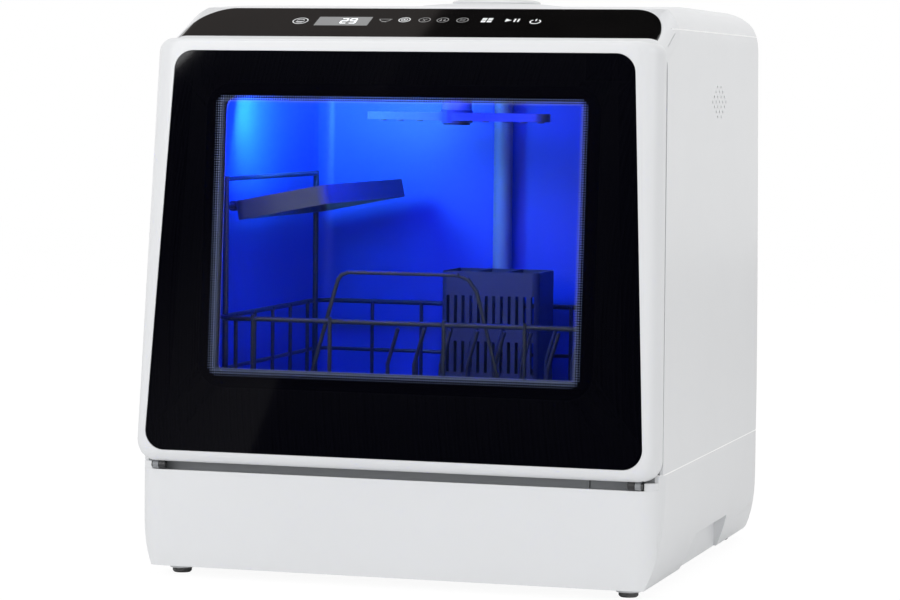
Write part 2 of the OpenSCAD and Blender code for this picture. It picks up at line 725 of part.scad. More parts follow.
module tub_plan(i, y1) {
    translate([-tub_w / 2 + i, -60]) square([tub_w - 2 * i, y1 + 60 - tub_r]);
    translate([-tub_w / 2 + tub_r, 0]) square([tub_w - 2 * tub_r, y1 - i]);
    for (s = [-1, 1]) translate([s * (tub_w / 2 - tub_r), y1 - tub_r]) circle(tub_r - i);
}

flange_n = frame_t + 3;
flange_t = 2.5;
flange_low = side_seam + 1;
flange_high = panel_z - seat - 1.5;
flange_gap = 0.4;

module flange() {
    lo = door_h(flange_n, flange_low);
    hi = door_h(flange_n, flange_high);
    wl = half_w(flange_low) - wall - flange_gap;
    wh = half_w(flange_high) - wall - flange_gap;
    intersection() {
        into_flange(flange_n, flange_n + flange_t) polygon([[-wl, lo], [wl, lo], [wh, hi], [-wh, hi]]);
        slope_bar(slope_wall(wall + flange_gap));
    }
}

module into_flange(n0, n1) translate([0, -door_proud, door_bottom]) rotate([-door_lean, 0, 0])
    translate([0, n1, 0]) rotate([90, 0, 0]) linear_extrude(n1 - n0) children();

module opening(d) translate([0, 0, mid(lip_z, tub_top - lip_side)]) along_y(-60, 60)
    round_rect(tub_w - 2 * lip_side + 2 * d, tub_top - lip_side - lip_z + 2 * d, tub_r + d);

module tub() color(tubwhite) at() difference() {
    union() {
        difference() {
            union() {
                difference() {
                    tub_block(-tub_wall, tub_back);
                    tub_block(0, tub_back);
                }
                // runner ledges for the basket, and the dish that leads water to the sump
                both_sides() translate([tub_w / 2 - 24, 40, ledge_z - 3]) cube([25, tub_back - 50, 3]);
                translate([sump_x, sump_y, tub_under - 3]) cylinder(r = filter_r + 14, h = tub_wall + 3);
            }
            into_flange(-200, flange_n) translate([-far / 2, -far / 2]) square(far);
        }
        difference() {
            flange();
            opening(0);
        }
    }
    // sump well, arm post, feed pipe and fan opening
    translate([sump_x, sump_y, tub_under - 10]) cylinder(r = filter_r + 2, h = 30);
    translate([0, arm_y, tub_under - 10]) cylinder(r = arm_pin_r + 3.1, h = 20);
    translate([0, feed_y, tub_under - 10]) cylinder(r = pipe_r + fit, h = 20);
    translate([tub_w / 2 - 5, vent_y - 16, vent_z - 44]) cube([12, 32, 12]);
    // latch slot over the opening
    into_flange(flange_n - 1, flange_n + 4) translate([-13, door_h(flange_n, latch_z - 7)]) square([26, 15]);
}

latch_z = tub_top + 12;
feed_y = tub_back - pipe_r - 3;

module tub_seal() color([0.3, 0.31, 0.32]) at() intersection() {
    into_flange(frame_t + 0.4, flange_n - 0.02) translate([-far / 2, -far / 2]) square(far);
    difference() {
        opening(9);
        opening(1.5);
    }
}

module light_bar() color([0.55, 0.75, 1]) at() translate([0, 62, tub_top]) rotate([0, 90, 0])
    translate([0, 0, 60 - tub_w / 2]) linear_extrude(tub_w - 120)
        polygon([[0.02, -7], [3, -7], [6, -3.5], [6, 3.5], [3, 7], [0.02, 7]]);

// ---- latch ----

latch_y = door_y(flange_n + flange_t, door_h(flange_n, latch_z)) + 1.5;

module latch_housing() color(grey) at() difference() {
    translate([-20, latch_y, latch_z - 8.5]) cube([40, 34, 19]);
    translate([-15, latch_y - 1, latch_z - 6]) cube([30, 32, 14]);
    translate([0, switch_y, switch_z]) rotate([0, 90, 0]) cylinder(r = 1.5 + run, h = 60, center = true);
}

switch_y = latch_y + 17.1;
switch_z = latch_z + 5;

// The lever is held back by the latch tongue and follows it out
module switch_lever() color(black) at() {
    translate([0, switch_y, switch_z]) rotate([0, 90, 0]) {
        cylinder(r = 1.5, h = 39, center = true);
        cylinder(r = 2.6, h = 10, center = true);
    }
    translate([-4, switch_y - 2.4, switch_z - 9]) cube([8, 2.4, 9]);
}

module latch_striker() color(steel) on_door() translate([0, 0, door_h(flange_n, latch_z)]) difference() {
    rotate([90, 0, 90]) linear_extrude(18, center = true)
        polygon([[frame_t - 0.02, -3], [frame_t + 18, -3], [frame_t + 21.5, -1.6], [frame_t + 21.5, 0.2],
            [frame_t + 18, 1.5], [frame_t + 14.5, 1.5], [frame_t + 13, 0], [frame_t - 0.02, 0]]);
    translate([0, frame_t + 8, -5]) cylinder(r = 3, h = 10);
}

// ---- hinges ----

module at_axis() translate([0, axis_y, axis_z]) rotate([0, 90, 0]) children();

module hinge_brackets() color(black) at() both_sides() {
    difference() {
        union() {
            translate([ear_x, 0, 0]) at_axis() cylinder(r = knuckle_r, h = ear_w);
            translate([ear_x, axis_y, axis_z - knuckle_r + 0.4])
                cube([ear_w, sill_y + 17 - axis_y, 2 * knuckle_r - 2.4]);
            translate([ear_x - 8, sill_y + 12.2, axis_z - 19.5]) cube([ear_w + 8, 4.8, 19.1 + knuckle_r]);
        }
        translate([ear_x - 1, 0, 0]) at_axis() cylinder(r = pin_r + 0.02, h = ear_w + 2);
        translate([ear_x - 4, sill_y + 8, axis_z - 13.5]) rotate([-90, 0, 0]) cylinder(r = 1.8, h = 12);
    }
}

module hinge_pins() color(steel) at() both_sides() translate([knuckle_x - 0.6, 0, 0]) at_axis() {
    cylinder(r = pin_r, h = lug_w + ear_w + 1.4);
    translate([0, 0, lug_w + ear_w + 1.2]) cylinder(r = pin_r + 1, h = 1.2);
}

axis_n = (axis_y + door_proud) * cos(door_lean) - (axis_z - door_bottom) * sin(door_lean);
axis_h = (axis_y + door_proud) * sin(door_lean) + (axis_z - door_bottom) * cos(door_lean);

module hinge_arms() color([0.12, 0.12, 0.13]) on_door() both_sides() translate([knuckle_x, axis_n, axis_h])
    difference() {
    union() {
        rotate([0, 90, 0]) cylinder(r = knuckle_r - 0.2, h = lug_w);
        translate([0, -2.6, 0]) cube([lug_w, 5.2, 62]);
        for (h = [16, 42]) translate([0, ledge_n + 2.22 - axis_n, h]) cube([lug_w, axis_n - ledge_n - 4, 12]);
    }
    translate([-1, 0, 0]) rotate([0, 90, 0]) cylinder(r = pin_r + run, h = lug_w + 2);
    for (h = [22, 48]) translate([-1, 0, h]) rotate([0, 90, 0]) cylinder(r = 1.2, h = lug_w + 2);
}

// ---- door ----

// Half width of the cabinet beside a point h up the door
function door_half(h) = half_w(door_z(frame_t, h)) - 0.4;

// How far an edge that rounds off over width w and depth t lies in at depth n
function round_in(w, t, n) = n < t ? w * (1 - sqrt(1 - pow(1 - n / t, 2))) : 0;
side_depth = frame_t - 1;
head_edge = 3;
slice_ns = [for (a = [0:9:90]) side_depth * (1 - cos(a))];

// Outline of the door at depth n
module door_slice(n) both_sides() {
    translate([door_half(0) - round_in(glass_side_low - side_rim, side_depth, n) - door_low_r,
        door_low_r + round_in(frame_edge, frame_edge, n)]) circle(door_low_r, $fn = 32);
    translate([door_half(door_len) - round_in(glass_side_high - side_rim, side_depth, n) - door_high_r,
        door_len - door_high_r - round_in(head_edge, head_edge, n)]) circle(door_high_r, $fn = 32);
}

module door_body() hull() {
    for (n = slice_ns) door_local(n, n + eps) door_slice(n);
    door_local(frame_t - eps, frame_t) door_slice(frame_t);
}

// Outline of the door, smaller by d, and by side at its sides
module door_inside(d, side = 0) {
    more = max(side, d) - d;
    hull() both_sides() {
        translate([door_half(0) - door_low_r - more, door_low_r]) circle(door_low_r - d);
        translate([door_half(door_len) - door_high_r - more, door_len - door_high_r]) circle(door_high_r - d);
    }
}

glass_top = door_len - glass_high;
module glass_outline(d) hull() both_sides() {
    translate([door_half(0) - glass_side_low - glass_r, glass_low + glass_r]) circle(glass_r - d);
    translate([door_half(door_len) - glass_side_high - glass_r, glass_top - glass_r]) circle(glass_r - d);
}

wall_step = 12;                        // nearer to the face the wall of the frame is thicker
glass_in = 0.4;                        // the glass lies this much behind the frame edge
ledge_n = glass_in + glass_t;
window_mid = window_low + window_h / 2;
door_screw_hs = [34, door_len / 2, door_len - 30];

module window_area(d, r) translate([0, window_mid]) round_rect(window_w + 2 * d, window_h + 2 * d, r);

module door_local(n0, n1) translate([0, n1, 0]) rotate([90, 0, 0]) linear_extrude(n1 - n0) children();

module door_frame() color(white) on_door() difference() {
    union() {
        difference() {
            door_body();
            door_local(ledge_n + 2.2, wall_step + eps) door_inside(3, 8);
            door_local(wall_step, frame_t + 1) door_inside(3);
        }
        both_sides() for (h = door_screw_hs) translate([door_screw_x(h), ledge_n + 2, h]) rotate([-90, 0, 0])
            cylinder(r = 3.5, h = frame_t - 2.7 - ledge_n - 2);
    }
    door_local(-1, ledge_n) glass_outline(-0.35);
    door_local(-1, frame_t) window_area(9, 20);
    both_sides() for (h = door_screw_hs) translate([door_screw_x(h), ledge_n + 3, h]) rotate([-90, 0, 0])
        cylinder(r = 1.3, h = frame_t);
    // slots for the hinge arms
    both_sides() translate([knuckle_x - 0.5, axis_n - 3.6, -1]) {
        cube([lug_w + 1, 7.2, 5]);
        cube([lug_w + ear_w + 3.5, 7.2, 2.2]);
    }
}

function door_screw_x(h) = door_half(h) - 9.5;

module door_glass() color(black) on_door() door_local(glass_in, ledge_n) glass_outline(0);

plug_w = tub_w - 2 * lip_side - 6;
plug_low = door_h(frame_t, lip_z) + 4.8;
plug_high = door_h(frame_t + plug_t, tub_top - lip_side) - 4.8;
liner_t = 2.5;

module plug_area(d) translate([0, mid(plug_low, plug_high)])
    round_rect(plug_w + 2 * d, plug_high - plug_low + 2 * d, 14 + d);

// Inner door panel: a plate that closes the frame, with a tray that stands into the tub
module door_liner() color(tubwhite) on_door() difference() {
    union() {
        door_local(frame_t - liner_t, frame_t - 0.02) door_inside(3.4);
        door_local(frame_t - liner_t, frame_t + plug_t) plug_area(0);
    }
    door_local(frame_t - liner_t - 1, frame_t + plug_t - liner_t) plug_area(-liner_t);
    door_local(frame_t, frame_t + plug_t + 1) window_area(3, 14);
    both_sides() for (h = door_screw_hs) translate([door_screw_x(h), frame_t - 6, h]) rotate([-90, 0, 0])
        cylinder(r = 1.8, h = 12);
}

pane_n = frame_t + plug_t - liner_t - 1.5 - 4;
module pane_area(d) translate([0, window_mid + 0.5])
    round_rect(window_w + 13 - 2 * d, window_h + 13 - 2 * d, 16 - d);

module window_pane() color([0.8, 0.9, 1, 0.3]) on_door() door_local(pane_n, pane_n + 4) pane_area(0);

module window_seal() color([0.2, 0.2, 0.21]) on_door() door_local(pane_n + 4.01, pane_n + 5.48) difference() {
    pane_area(0.2);
    pane_area(4.2);
}

module door_screws() color(steel) on_door() both_sides() for (h = door_screw_hs)
    translate([door_screw_x(h), frame_t, h]) rotate([90, 0, 0]) rotate_extrude()
        polygon([[0, -1.6], [2.2, -1.3], [3, -0.05], [1.2, -0.05], [1.2, 9], [0, 10]]);

// ---- basket ----

guard_y = 51;
row_ys = [100, 178];
low_z = ledge_z + fit + rim_r;         // centre of the lower rim wire on the runner ledge
corner_r = 14;
knot = 0.15;                           // a bend is a little thicker than its wire
weld = 1.1;                            // upright wires stand this far beside the wires they are welded to
cross_z = low_z + rim_r + wire_r - 0.6;
half_basket = basket_w / 2;
floor_pitch = 26;
floor_xs = [for (k = [0.5:(half_basket - corner_r - wire_r) / floor_pitch])
    each [-k * floor_pitch, k * floor_pitch]];
cross_ys = [guard_y, row_ys[0], 140, row_ys[1], basket_y1 - 75, basket_y1 - 28];
front_xs = [30 - half_basket, -66, 27, 92];
rear_xs = [-110, -66, -22, 22, 66, 110];
side_ys = [for (k = [0:4]) basket_y0 + 39 + k * (basket_y1 - basket_y0 - 69) / 4];
rims = [[low_z, rim_r], [front_low_z, wire_r], [front_high_z, rim_r]];
rod_r = 2;
rod_x = rod_r - half_basket;
rod_y0 = basket_y0 + shelf_end;
rod_y1 = basket_y1 - shelf_end;
stop_rise = 22;                        // the folded shelf comes to lie on the rod at this height

// Wires from front to back: the floor, and on the left the pivot rod of the cup shelf and its stop rod
module long_wires() color(dark) at() {
    for (x = floor_xs) bar([x, basket_y0, low_z], [x, basket_y1, low_z], wire_r);
    for (z = [shelf_z, shelf_z + stop_rise]) bar([rod_x, rod_y0, z], [rod_x, rod_y1, z], rod_r);
}

module cross_wires() color(dark) at() for (y = cross_ys)
    bar([-half_basket, y, cross_z], [half_basket, y, cross_z], wire_r);

// Straight lengths of the three rims, each joined by the corner bends
module rim_wires() color(dark) at() for (q = rims) {
    for (y = [basket_y0, basket_y1]) bar([corner_r - half_basket, y, q[0]],
        [half_basket - corner_r, y, q[0]], q[1]);
    for (x = [-half_basket, half_basket]) bar([x, basket_y0 + corner_r, q[0]],
        [x, basket_y1 - corner_r, q[0]], q[1]);
}

module rim_corners() color(dark) at() both_sides() for (q = rims) {
    translate([half_basket - corner_r, basket_y1 - corner_r, q[0]]) bend(corner_r, q[1]);
    translate([half_basket - corner_r, basket_y0 + corner_r, q[0]]) rotate([0, 0, -90]) bend(corner_r, q[1]);
}

module upright(x, y, top) bar([x, y, low_z - 0.8], [x, y, front_high_z + top], wire_r);

module upright_wires() color(dark) at() {
    for (x = front_xs) upright(x, basket_y0 - weld, 3.4);
    for (x = rear_xs) upright(x, basket_y1 - weld, 0.8);
    for (s = [-1, 1], y = side_ys) upright(s * (half_basket - weld), y, 0.8);
    // two tall posts on the left carry the rods of the cup shelf
    for (y = [rod_y0, rod_y1]) bar([rod_x, y, low_z - 0.8], [rod_x, y, shelf_z + stop_rise + rod_r], rod_r
        + 0.4);
}

// Inverted U that keeps cups apart from plates behind the front wires
guard_foot = [-90, 76];
guard_path = [[guard_foot[0], cross_z + wire_r], [-62, guard_z - 6], [-59, guard_z - 2], [-53, guard_z],
    [36, guard_z], [44, guard_z - 3], [51, guard_z - 12], [guard_foot[1], cross_z + wire_r]];

module wire_path(p, r) for (k = [0:len(p) - 2]) {
    bar(p[k], p[k + 1], r);
    if (k > 0) translate(p[k]) sphere(r = r + knot);
}

module cup_guard() color(dark) at() wire_path([for (q = guard_path) [q.x, guard_y, q.y]], wire_r);

tine_x0 = -36;
kink = 8;
module plate_tines() color(dark) at() for (y = row_ys) {
    rail = cross_z + 2 * wire_r - 0.4;
    bar([tine_x0 - 6, y, rail], [tine_x0 + (tine_count - 1) * tine_pitch + 14, y, rail], wire_r);
    for (k = [0:tine_count - 1]) let (x = tine_x0 + k * tine_pitch) {
        wire_path([[x, y, rail], [x, y, mid(rail, tine_z)], [x + kink, y, tine_z - wire_r]], wire_r);
        translate([x + kink, y, tine_z - wire_r]) sphere(r = wire_r + knot);
    }
}

bin_x = -30;
bin_w = 84;
bin_y = basket_y1 - 64;
bin_d = 54;
bin_z = cross_z + wire_r + fit;
bin_h = 98;
bin_t = 1.8;

module cutlery_basket() color(grey) at() translate([bin_x, bin_y, bin_z]) difference() {
    translate([bin_w / 2, bin_d / 2, 0]) linear_extrude(bin_h) round_rect(bin_w, bin_d, 6);
    for (k = [0:2]) translate([bin_t + k * (bin_w - bin_t) / 3, bin_t, bin_t])
        cube([(bin_w - bin_t) / 3 - bin_t, bin_d - 2 * bin_t, bin_h]);
    // slots in the long walls and holes in the floor
    for (k = [0:11]) translate([5 + k * 6.6, -1, 14]) cube([2.6, bin_d + 2, 26]);
    for (k = [0:11]) translate([5 + k * 6.6, -1, 52]) cube([2.6, bin_d + 2, 26]);
    for (k = [0:11], j = [0:3]) translate([5 + k * 6.6, 8 + j * 11, -1]) cube([2.6, 5, 5]);
}

hook_ys = [rod_y0 + 22, rod_y1 - 22];
module cup_shelf() color([0.35, 0.37, 0.4]) at() translate([rod_x, 0, shelf_z]) rotate([0, -shelf_tilt, 0])
    difference() {
    union() {
        translate([4.5 + shelf_w / 2, rod_y0 + 4 + shelf_l / 2, 3 - shelf_t]) linear_extrude(shelf_t)
            round_rect(shelf_w, shelf_l, 9);
        for (y = hook_ys) translate([0, y, 0]) {
            rotate([90, 0, 0]) cylinder(r = rod_r + 2.2, h = 12, center = true);
            translate([0, -6, -4.2]) cube([10, 12, 4.2]);
        }
    }
    // the underside is hollow and the deck is slotted
    translate([4.5 + shelf_w / 2, rod_y0 + 4 + shelf_l / 2, -shelf_t]) linear_extrude(shelf_t)
        round_rect(shelf_w - 5, shelf_l - 5, 7);
    for (k = [0:11]) translate([14.5, rod_y0 + 16 + k * (shelf_l - 28) / 11.5, -20])
        cube([shelf_w - 20, 8, 40]);
    for (y = hook_ys) translate([0, y, 0]) rotate([90, 0, 0])
        cylinder(r = rod_r + run, h = 14, center = true);
}

// ---- spray arms and water ----

low_arm_z = tub_floor + 4;
high_arm_z = tub_top - 36;
volute_r = impeller_r + 9;
pipe_z = pump_z + volute_r - pipe_r;
volute_x = 13;
drain_x = cabinet_w / 2 - 54;
drain_y = 74;
drain_z = 38;
drain_body_r = 17;
inlet_x = 50 - cabinet_w / 2;
inlet_pump_y = cabinet_d - 51;
inlet_pump_z = 34;
inlet_pump_r = 15;
port_z = 70;
gland_x = inlet_x + 70;
gland_r = 7;
slot_x = 40;
arm_bore = arm_pin_r + run;

module spray_blade(l, up) {
    difference() {
        union() {
            cylinder(r = arm_pin_r + 5, h = arm_hub_h);
            translate([0, 0, 1.5]) linear_extrude(6.5) hull() for (s = [-1, 1]) {
                translate([s * (l - 8), 0]) circle(8);
                translate([s * 14, 0]) circle(12);
            }
            for (k = nozzle_xs(l)) translate([k[0], k[1], up > 0 ? 8 : 0.5]) cylinder(r = 3, h = 1);
        }
        translate([0, 0, -1]) cylinder(r = arm_bore, h = arm_hub_h + 2);
        for (k = nozzle_xs(l)) translate([k[0], k[1], up > 0 ? 4 : -1]) cylinder(r = 1.1, h = 6);
        // hollow channel in both wings
        for (s = [-1, 1]) translate([s * (l - 5) / 2, 0, 4.7]) cube([l - 19, 9, 3.4], center = true);
    }
}
function nozzle_xs(l) = [for (f = [0.3, 0.52, 0.72, 0.9]) [f * l, 2.5],
    for (f = [0.4, 0.62, 0.82]) [-f * l, -2.5]];

module lower_spray_arm() color(grey) at() translate([0, arm_y, low_arm_z]) rotate([0, 0, 35])
    spray_blade(low_arm_l, 1);
module upper_spray_arm() color(grey) at() translate([0, arm_y, high_arm_z]) rotate([0, 0, -25])
    spray_blade(high_arm_l, -1);

module lower_arm_post() color(grey) at() translate([0, arm_y, 0]) difference() {
    union() {
        translate([0, 0, tub_floor]) cylinder(r = arm_pin_r + 6, h = 3.6);
        translate([0, 0, tub_under - 8]) cylinder(r = arm_pin_r + 1, h = 11);
        translate([0, 0, tub_floor]) cylinder(r = arm_pin_r, h = low_arm_z - tub_floor + arm_hub_h + 0.3);
    }
    translate([0, 0, tub_under - 10]) cylinder(r = arm_pin_r - 2.5, h = 40);
    translate([0, 0, low_arm_z + 4.7]) cube([30, 6, 3], center = true);
}

feed_z = tub_top - pipe_r - 0.6;
module upper_feed_pipe() color(grey) at() difference() {
    union() {
        bar([0, feed_y, tub_under - 6], [0, feed_y, feed_z], pipe_r);
        bar([0, arm_y, feed_z], [0, feed_y, feed_z], pipe_r);
        translate([0, feed_y, feed_z]) sphere(r = pipe_r + knot);
        translate([0, arm_y, high_arm_z + arm_hub_h + 0.4])
            cylinder(r = arm_pin_r + 4, h = feed_z - high_arm_z - arm_hub_h);
        translate([0, arm_y, high_arm_z - 0.3]) cylinder(r = arm_pin_r, h = 20);
    }
    bar([0, feed_y, tub_under - 8], [0, feed_y, feed_z], pipe_r - 2);
    bar([0, arm_y - 1, feed_z], [0, feed_y, feed_z], pipe_r - 2);
    translate([0, arm_y, high_arm_z - 2]) cylinder(r = arm_pin_r - 2.5, h = feed_z - high_arm_z + 2);
    translate([0, arm_y, high_arm_z + 4.7]) cube([30, 6, 3], center = true);
}

cap_t = 1.6;
module arm_caps() color([0.3, 0.31, 0.33]) at() translate([0, arm_y, 0]) {
    translate([0, 0, low_arm_z + arm_hub_h + 0.32]) {
        cylinder(r = arm_pin_r + 3, h = cap_t);
        translate([0, 0, -4]) cylinder(r = arm_pin_r - 2.6, h = 4 + eps);
    }
    translate([0, 0, high_arm_z - 0.32 - cap_t]) {
        cylinder(r = arm_pin_r + 3, h = cap_t);
        translate([0, 0, cap_t - eps]) cylinder(r = arm_pin_r - 2.6, h = 4);
    }
}

socket_z = tub_under - 10;
module spray_manifold() color(grey) at() difference() {
    union() {
        translate([0, arm_y, pipe_z - pipe_r]) cylinder(r = arm_pin_r + 4, h = tub_under - 0.3 - pipe_z
            + pipe_r);
        translate([0, feed_y, pipe_z - pipe_r]) cylinder(r = pipe_r + 3, h = tub_under - 0.3 - pipe_z
            + pipe_r);
        bar([0, heater_y1 + eps, pipe_z], [0, feed_y, pipe_z], pipe_r);
    }
    bar([0, heater_y1 - 1, pipe_z], [0, feed_y, pipe_z], pipe_r - 2);
    translate([0, arm_y, pipe_z]) cylinder(r = arm_pin_r - 2, h = 60);
    translate([0, arm_y, socket_z + 1.5]) cylinder(r = arm_pin_r + 1.1, h = 60);
    translate([0, feed_y, pipe_z]) cylinder(r = pipe_r - 2, h = 60);
    translate([0, feed_y, tub_under - 6.5]) cylinder(r = pipe_r + 0.1, h = 60);
}

heater_y0 = sump_y + volute_r + 2;
heater_y1 = heater_y0 + 32;
heater_r = 15;
module flow_heater() color(steel) at() difference() {
    union() {
        bar([0, heater_y0, pipe_z], [0, heater_y1, pipe_z], pipe_r);
        bar([0, heater_y0 + 3, pipe_z], [0, heater_y1 - 3, pipe_z], heater_r);
        for (y = [heater_y0 + 8, heater_y0 + 20]) bar([0, y, pipe_z], [0, y + 3, pipe_z], heater_r + 1.2);
        // two power tabs
        for (x = [-5, 5]) translate([x - 3, heater_y1 - 12, pipe_z - heater_r - 7]) cube([6, 0.8, 9]);
    }
    bar([0, heater_y0 - 1, pipe_z], [0, heater_y1 + 1, pipe_z], pipe_r - 2);
}

module along_pump(x0, x1) translate([x0, pump_y, pump_z]) rotate([0, 90, 0]) cylinder_span(x1 - x0)
    children();
module cylinder_span(h) linear_extrude(h) children();

shaft_r = 3;
inlet_bore = 9;
module pump_volute() color([0.3, 0.32, 0.35]) at() difference() {
    union() {
        along_pump(-volute_x, volute_x) circle(volute_r);
        bar([0, pump_y, pipe_z], [0, heater_y0 - eps, pipe_z], pipe_r);
        along_pump(volute_x - eps, sump_x - sump_r + 4) circle(inlet_bore + 2);
    }
    along_pump(-volute_x + 2.5, volute_x - 2.5) circle(volute_r - 2.5);
    along_pump(-volute_x - 1, 0) circle(shaft_r + 0.6);
    along_pump(0, sump_x) circle(inlet_bore);
    bar([0, pump_y, pipe_z], [0, heater_y0 + 1, pipe_z], pipe_r - 2);
}

blade_count = 6;
module pump_impeller() color([0.85, 0.85, 0.8]) at() difference() {
    union() {
        along_pump(-6, -4) circle(impeller_r);
        along_pump(-6, 4) circle(7);
        along_pump(4, 5.5) difference() {
            circle(impeller_r);
            circle(inlet_bore + 2);
        }
        for (k = [0:blade_count - 1]) along_pump(-4.01, 4.01) rotate(k * 360 / blade_count) intersection() {
            translate([6, 12]) difference() {
                circle(13);
                circle(11.4);
            }
            translate([6, -4]) square([impeller_r, 14]);
            circle(impeller_r);
        }
    }
    along_pump(-7, 7) circle(shaft_r + run);
}

module wash_motor() color(steel) at() {
    along_pump(pump_x - 26, -volute_x - 8) circle(motor_r);
    along_pump(pump_x - 36, pump_x - 26 + eps) circle(motor_r - 7);
    along_pump(-volute_x - 8 - eps, -volute_x - 0.01) circle(motor_r - 10);
    along_pump(-volute_x - 1, 7.5) circle(shaft_r);
    // stator stack and cooling ribs
    for (x = [pump_x - 20:6:pump_x + 16]) along_pump(x, x + 2.5) circle(motor_r + 0.1);
}

sump_r = filter_r + 5;
sump_floor = 40;
module sump() color([0.3, 0.32, 0.35]) at() difference() {
    union() {
        translate([sump_x, sump_y, sump_floor - 2.5])
            cylinder(r = sump_r, h = tub_under - 3 - sump_floor + 2.5);
        translate([sump_x, sump_y, tub_under - 6]) cylinder(r = filter_r + 12, h = 2.9);
        bar([sump_x, sump_y, drain_z + 8], [drain_x - drain_body_r + 1.9, sump_y, drain_z + 8], 8);
    }
    translate([sump_x, sump_y, sump_floor]) cylinder(r = sump_r - 2.5, h = 100);
    translate([0, pump_y, pump_z]) rotate([0, 90, 0]) cylinder(r = inlet_bore + 2.05, h = sump_x);
    bar([sump_x, sump_y, drain_z + 8], [drain_x, sump_y, drain_z + 8], 6);
}

module filter_plate() color(steel) at() translate([sump_x, sump_y, tub_floor + 0.05]) difference() {
    cylinder(r = filter_r + 16, h = 1.2);
    translate([0, 0, -1]) cylinder(r = filter_r + 0.5, h = 4);
    for (k = [0:23]) rotate(k * 15) for (r = [6, 9.5, 13]) translate([filter_r + r, 0, -1])
        cylinder(r = 1.1, h = 4, $fn = 16);
}

cup_top = tub_floor + 1.4;
cup_low = 58;
module filter_cup() color([0.2, 0.35, 0.5]) at() translate([sump_x, sump_y, 0]) difference() {
    union() {
        rotate_extrude() polygon([[0, cup_low], [filter_r - 3, cup_low], [filter_r - 1, cup_low + 3],
            [filter_r - 1, cup_top],
            [filter_r + 3.5, cup_top], [filter_r + 3.5, cup_top + 1.2], [filter_r + 2.5, cup_top + 2],
            [filter_r - 3, cup_top + 2], [filter_r - 3, cup_low + 3], [filter_r - 5, cup_low + 2],
                [0, cup_low + 2]]);
        translate([-filter_r + 2, -2.5, cup_top - 8]) cube([2 * filter_r - 4, 5, 10]);
    }
    for (k = [0:15]) rotate(k * 22.5 + 11.25) translate([filter_r - 6, -1.5, cup_low + 8])
        cube([10, 3, cup_top - cup_low - 22]);
}

module drain_pump() color([0.25, 0.26, 0.28]) at() {
    difference() {
        bar([drain_x, drain_y, drain_z], [drain_x, drain_y + 20, drain_z], drain_body_r + 1.5);
        bar([drain_x, drain_y + 2.5, drain_z], [drain_x, drain_y + 18, drain_z], drain_body_r - 2);
        bar([sump_x, sump_y, drain_z + 8], [drain_x, sump_y, drain_z + 8], 8.05);
        bar([drain_x, sump_y, drain_z], [drain_x, sump_y, 70], 5);
    }
    bar([drain_x, drain_y + 20 - eps, drain_z], [drain_x, drain_y + 70, drain_z], drain_body_r);
}

hose_r = 7;
hose_bend = port_z - drain_z - drain_body_r - 1.55;
module drain_hose() translate([drain_x, 0, 0]) difference() {
    union() {
        translate([0, sump_y + hose_bend, port_z - hose_bend]) rotate([90, 0, -90]) bend(hose_bend, hose_r);
        bar([0, sump_y + hose_bend - eps, port_z], [0, cabinet_d - 18.05, port_z], hose_r);
        // ribs of the corrugated stretch
        for (y = [130:8:cabinet_d - 47]) bar([0, y, port_z], [0, y + 3, port_z], hose_r + 1);
    }
    bar([0, sump_y + hose_bend, port_z], [0, cabinet_d, port_z], hose_r - 2);
}

module tank_hose() {
    x = inlet_x + 60;
    hose_z = inlet_pump_z + 2;
    bar([x, neck_y, hose_z], [x, neck_y, tank_z0 - 6.05], 6);
    bar([inlet_x + inlet_pump_r + 0.6, neck_y, hose_z], [x, neck_y, hose_z], 6);
    translate([x, neck_y, hose_z]) sphere(r = 6 + knot);
}

module hoses() color([0.35, 0.36, 0.38]) at() {
    drain_hose();
    tank_hose();
}

module drain_port() color(black) at() translate([drain_x, cabinet_d, port_z]) rotate([-90, 0, 0])
    difference() {
    rotate_extrude() polygon([[6, -18], [drain_r - 1, -18], [drain_r, -17], [drain_r, 0.05],
        [drain_r + 5, 0.05], [drain_r + 5, 2.5],
        [drain_r, 2.5], [drain_r, port_reach - 4], [drain_r - 1.4, port_reach], [6, port_reach]]);
}

module inlet_valve() color([0.2, 0.3, 0.6]) at() {
    translate([inlet_x, cabinet_d, port_z]) rotate([-90, 0, 0]) difference() {
        union() {
            translate([0, 0, -24]) cylinder(r = inlet_r, h = 24 + port_reach);
            translate([0, 0, 0.05]) cylinder(r = inlet_r + 3, h = 2, $fn = 6);
        }
        translate([0, 0, -10]) cylinder(r = inlet_r - 3, h = 40);
    }
    translate([inlet_x - 13, cabinet_d - 50, port_z - 11]) cube([26, 26 + eps, 22]);
    translate([inlet_x + 4, cabinet_d - 37, port_z + 10.9]) cylinder(r = 9, h = 14);
}

module inlet_pump() color([0.25, 0.26, 0.28]) at() {
    bar([inlet_x, inlet_pump_y - 32, inlet_pump_z], [inlet_x, inlet_pump_y + 26, inlet_pump_z], inlet_pump_r);
    bar([inlet_x, inlet_pump_y - 38, inlet_pump_z], [inlet_x, inlet_pump_y - 32, inlet_pump_z], 4);
}

module cord_gland() color(black) at() translate([gland_x, cabinet_d, port_z]) rotate([-90, 0, 0])
    rotate_extrude()
    polygon([[4, -6], [gland_r + 2, -6], [gland_r + 2, -wall - 0.05], [gland_r - 0.1, -wall - 0.05],
        [gland_r - 0.1, 0.05],
        [gland_r + 2.5, 0.05], [gland_r + 1.5, 3], [5, 5], [4, 5]]);

// ---- drying fan ----

fan_x = tub_w / 2 + tub_wall + 2;
fan_t = 20;
scroll_r = fan_r + 8;
module along_fan(x0, x1) translate([fan_x + x0, vent_y, vent_z]) rotate([0, 90, 0]) linear_extrude(x1 - x0)
    children();

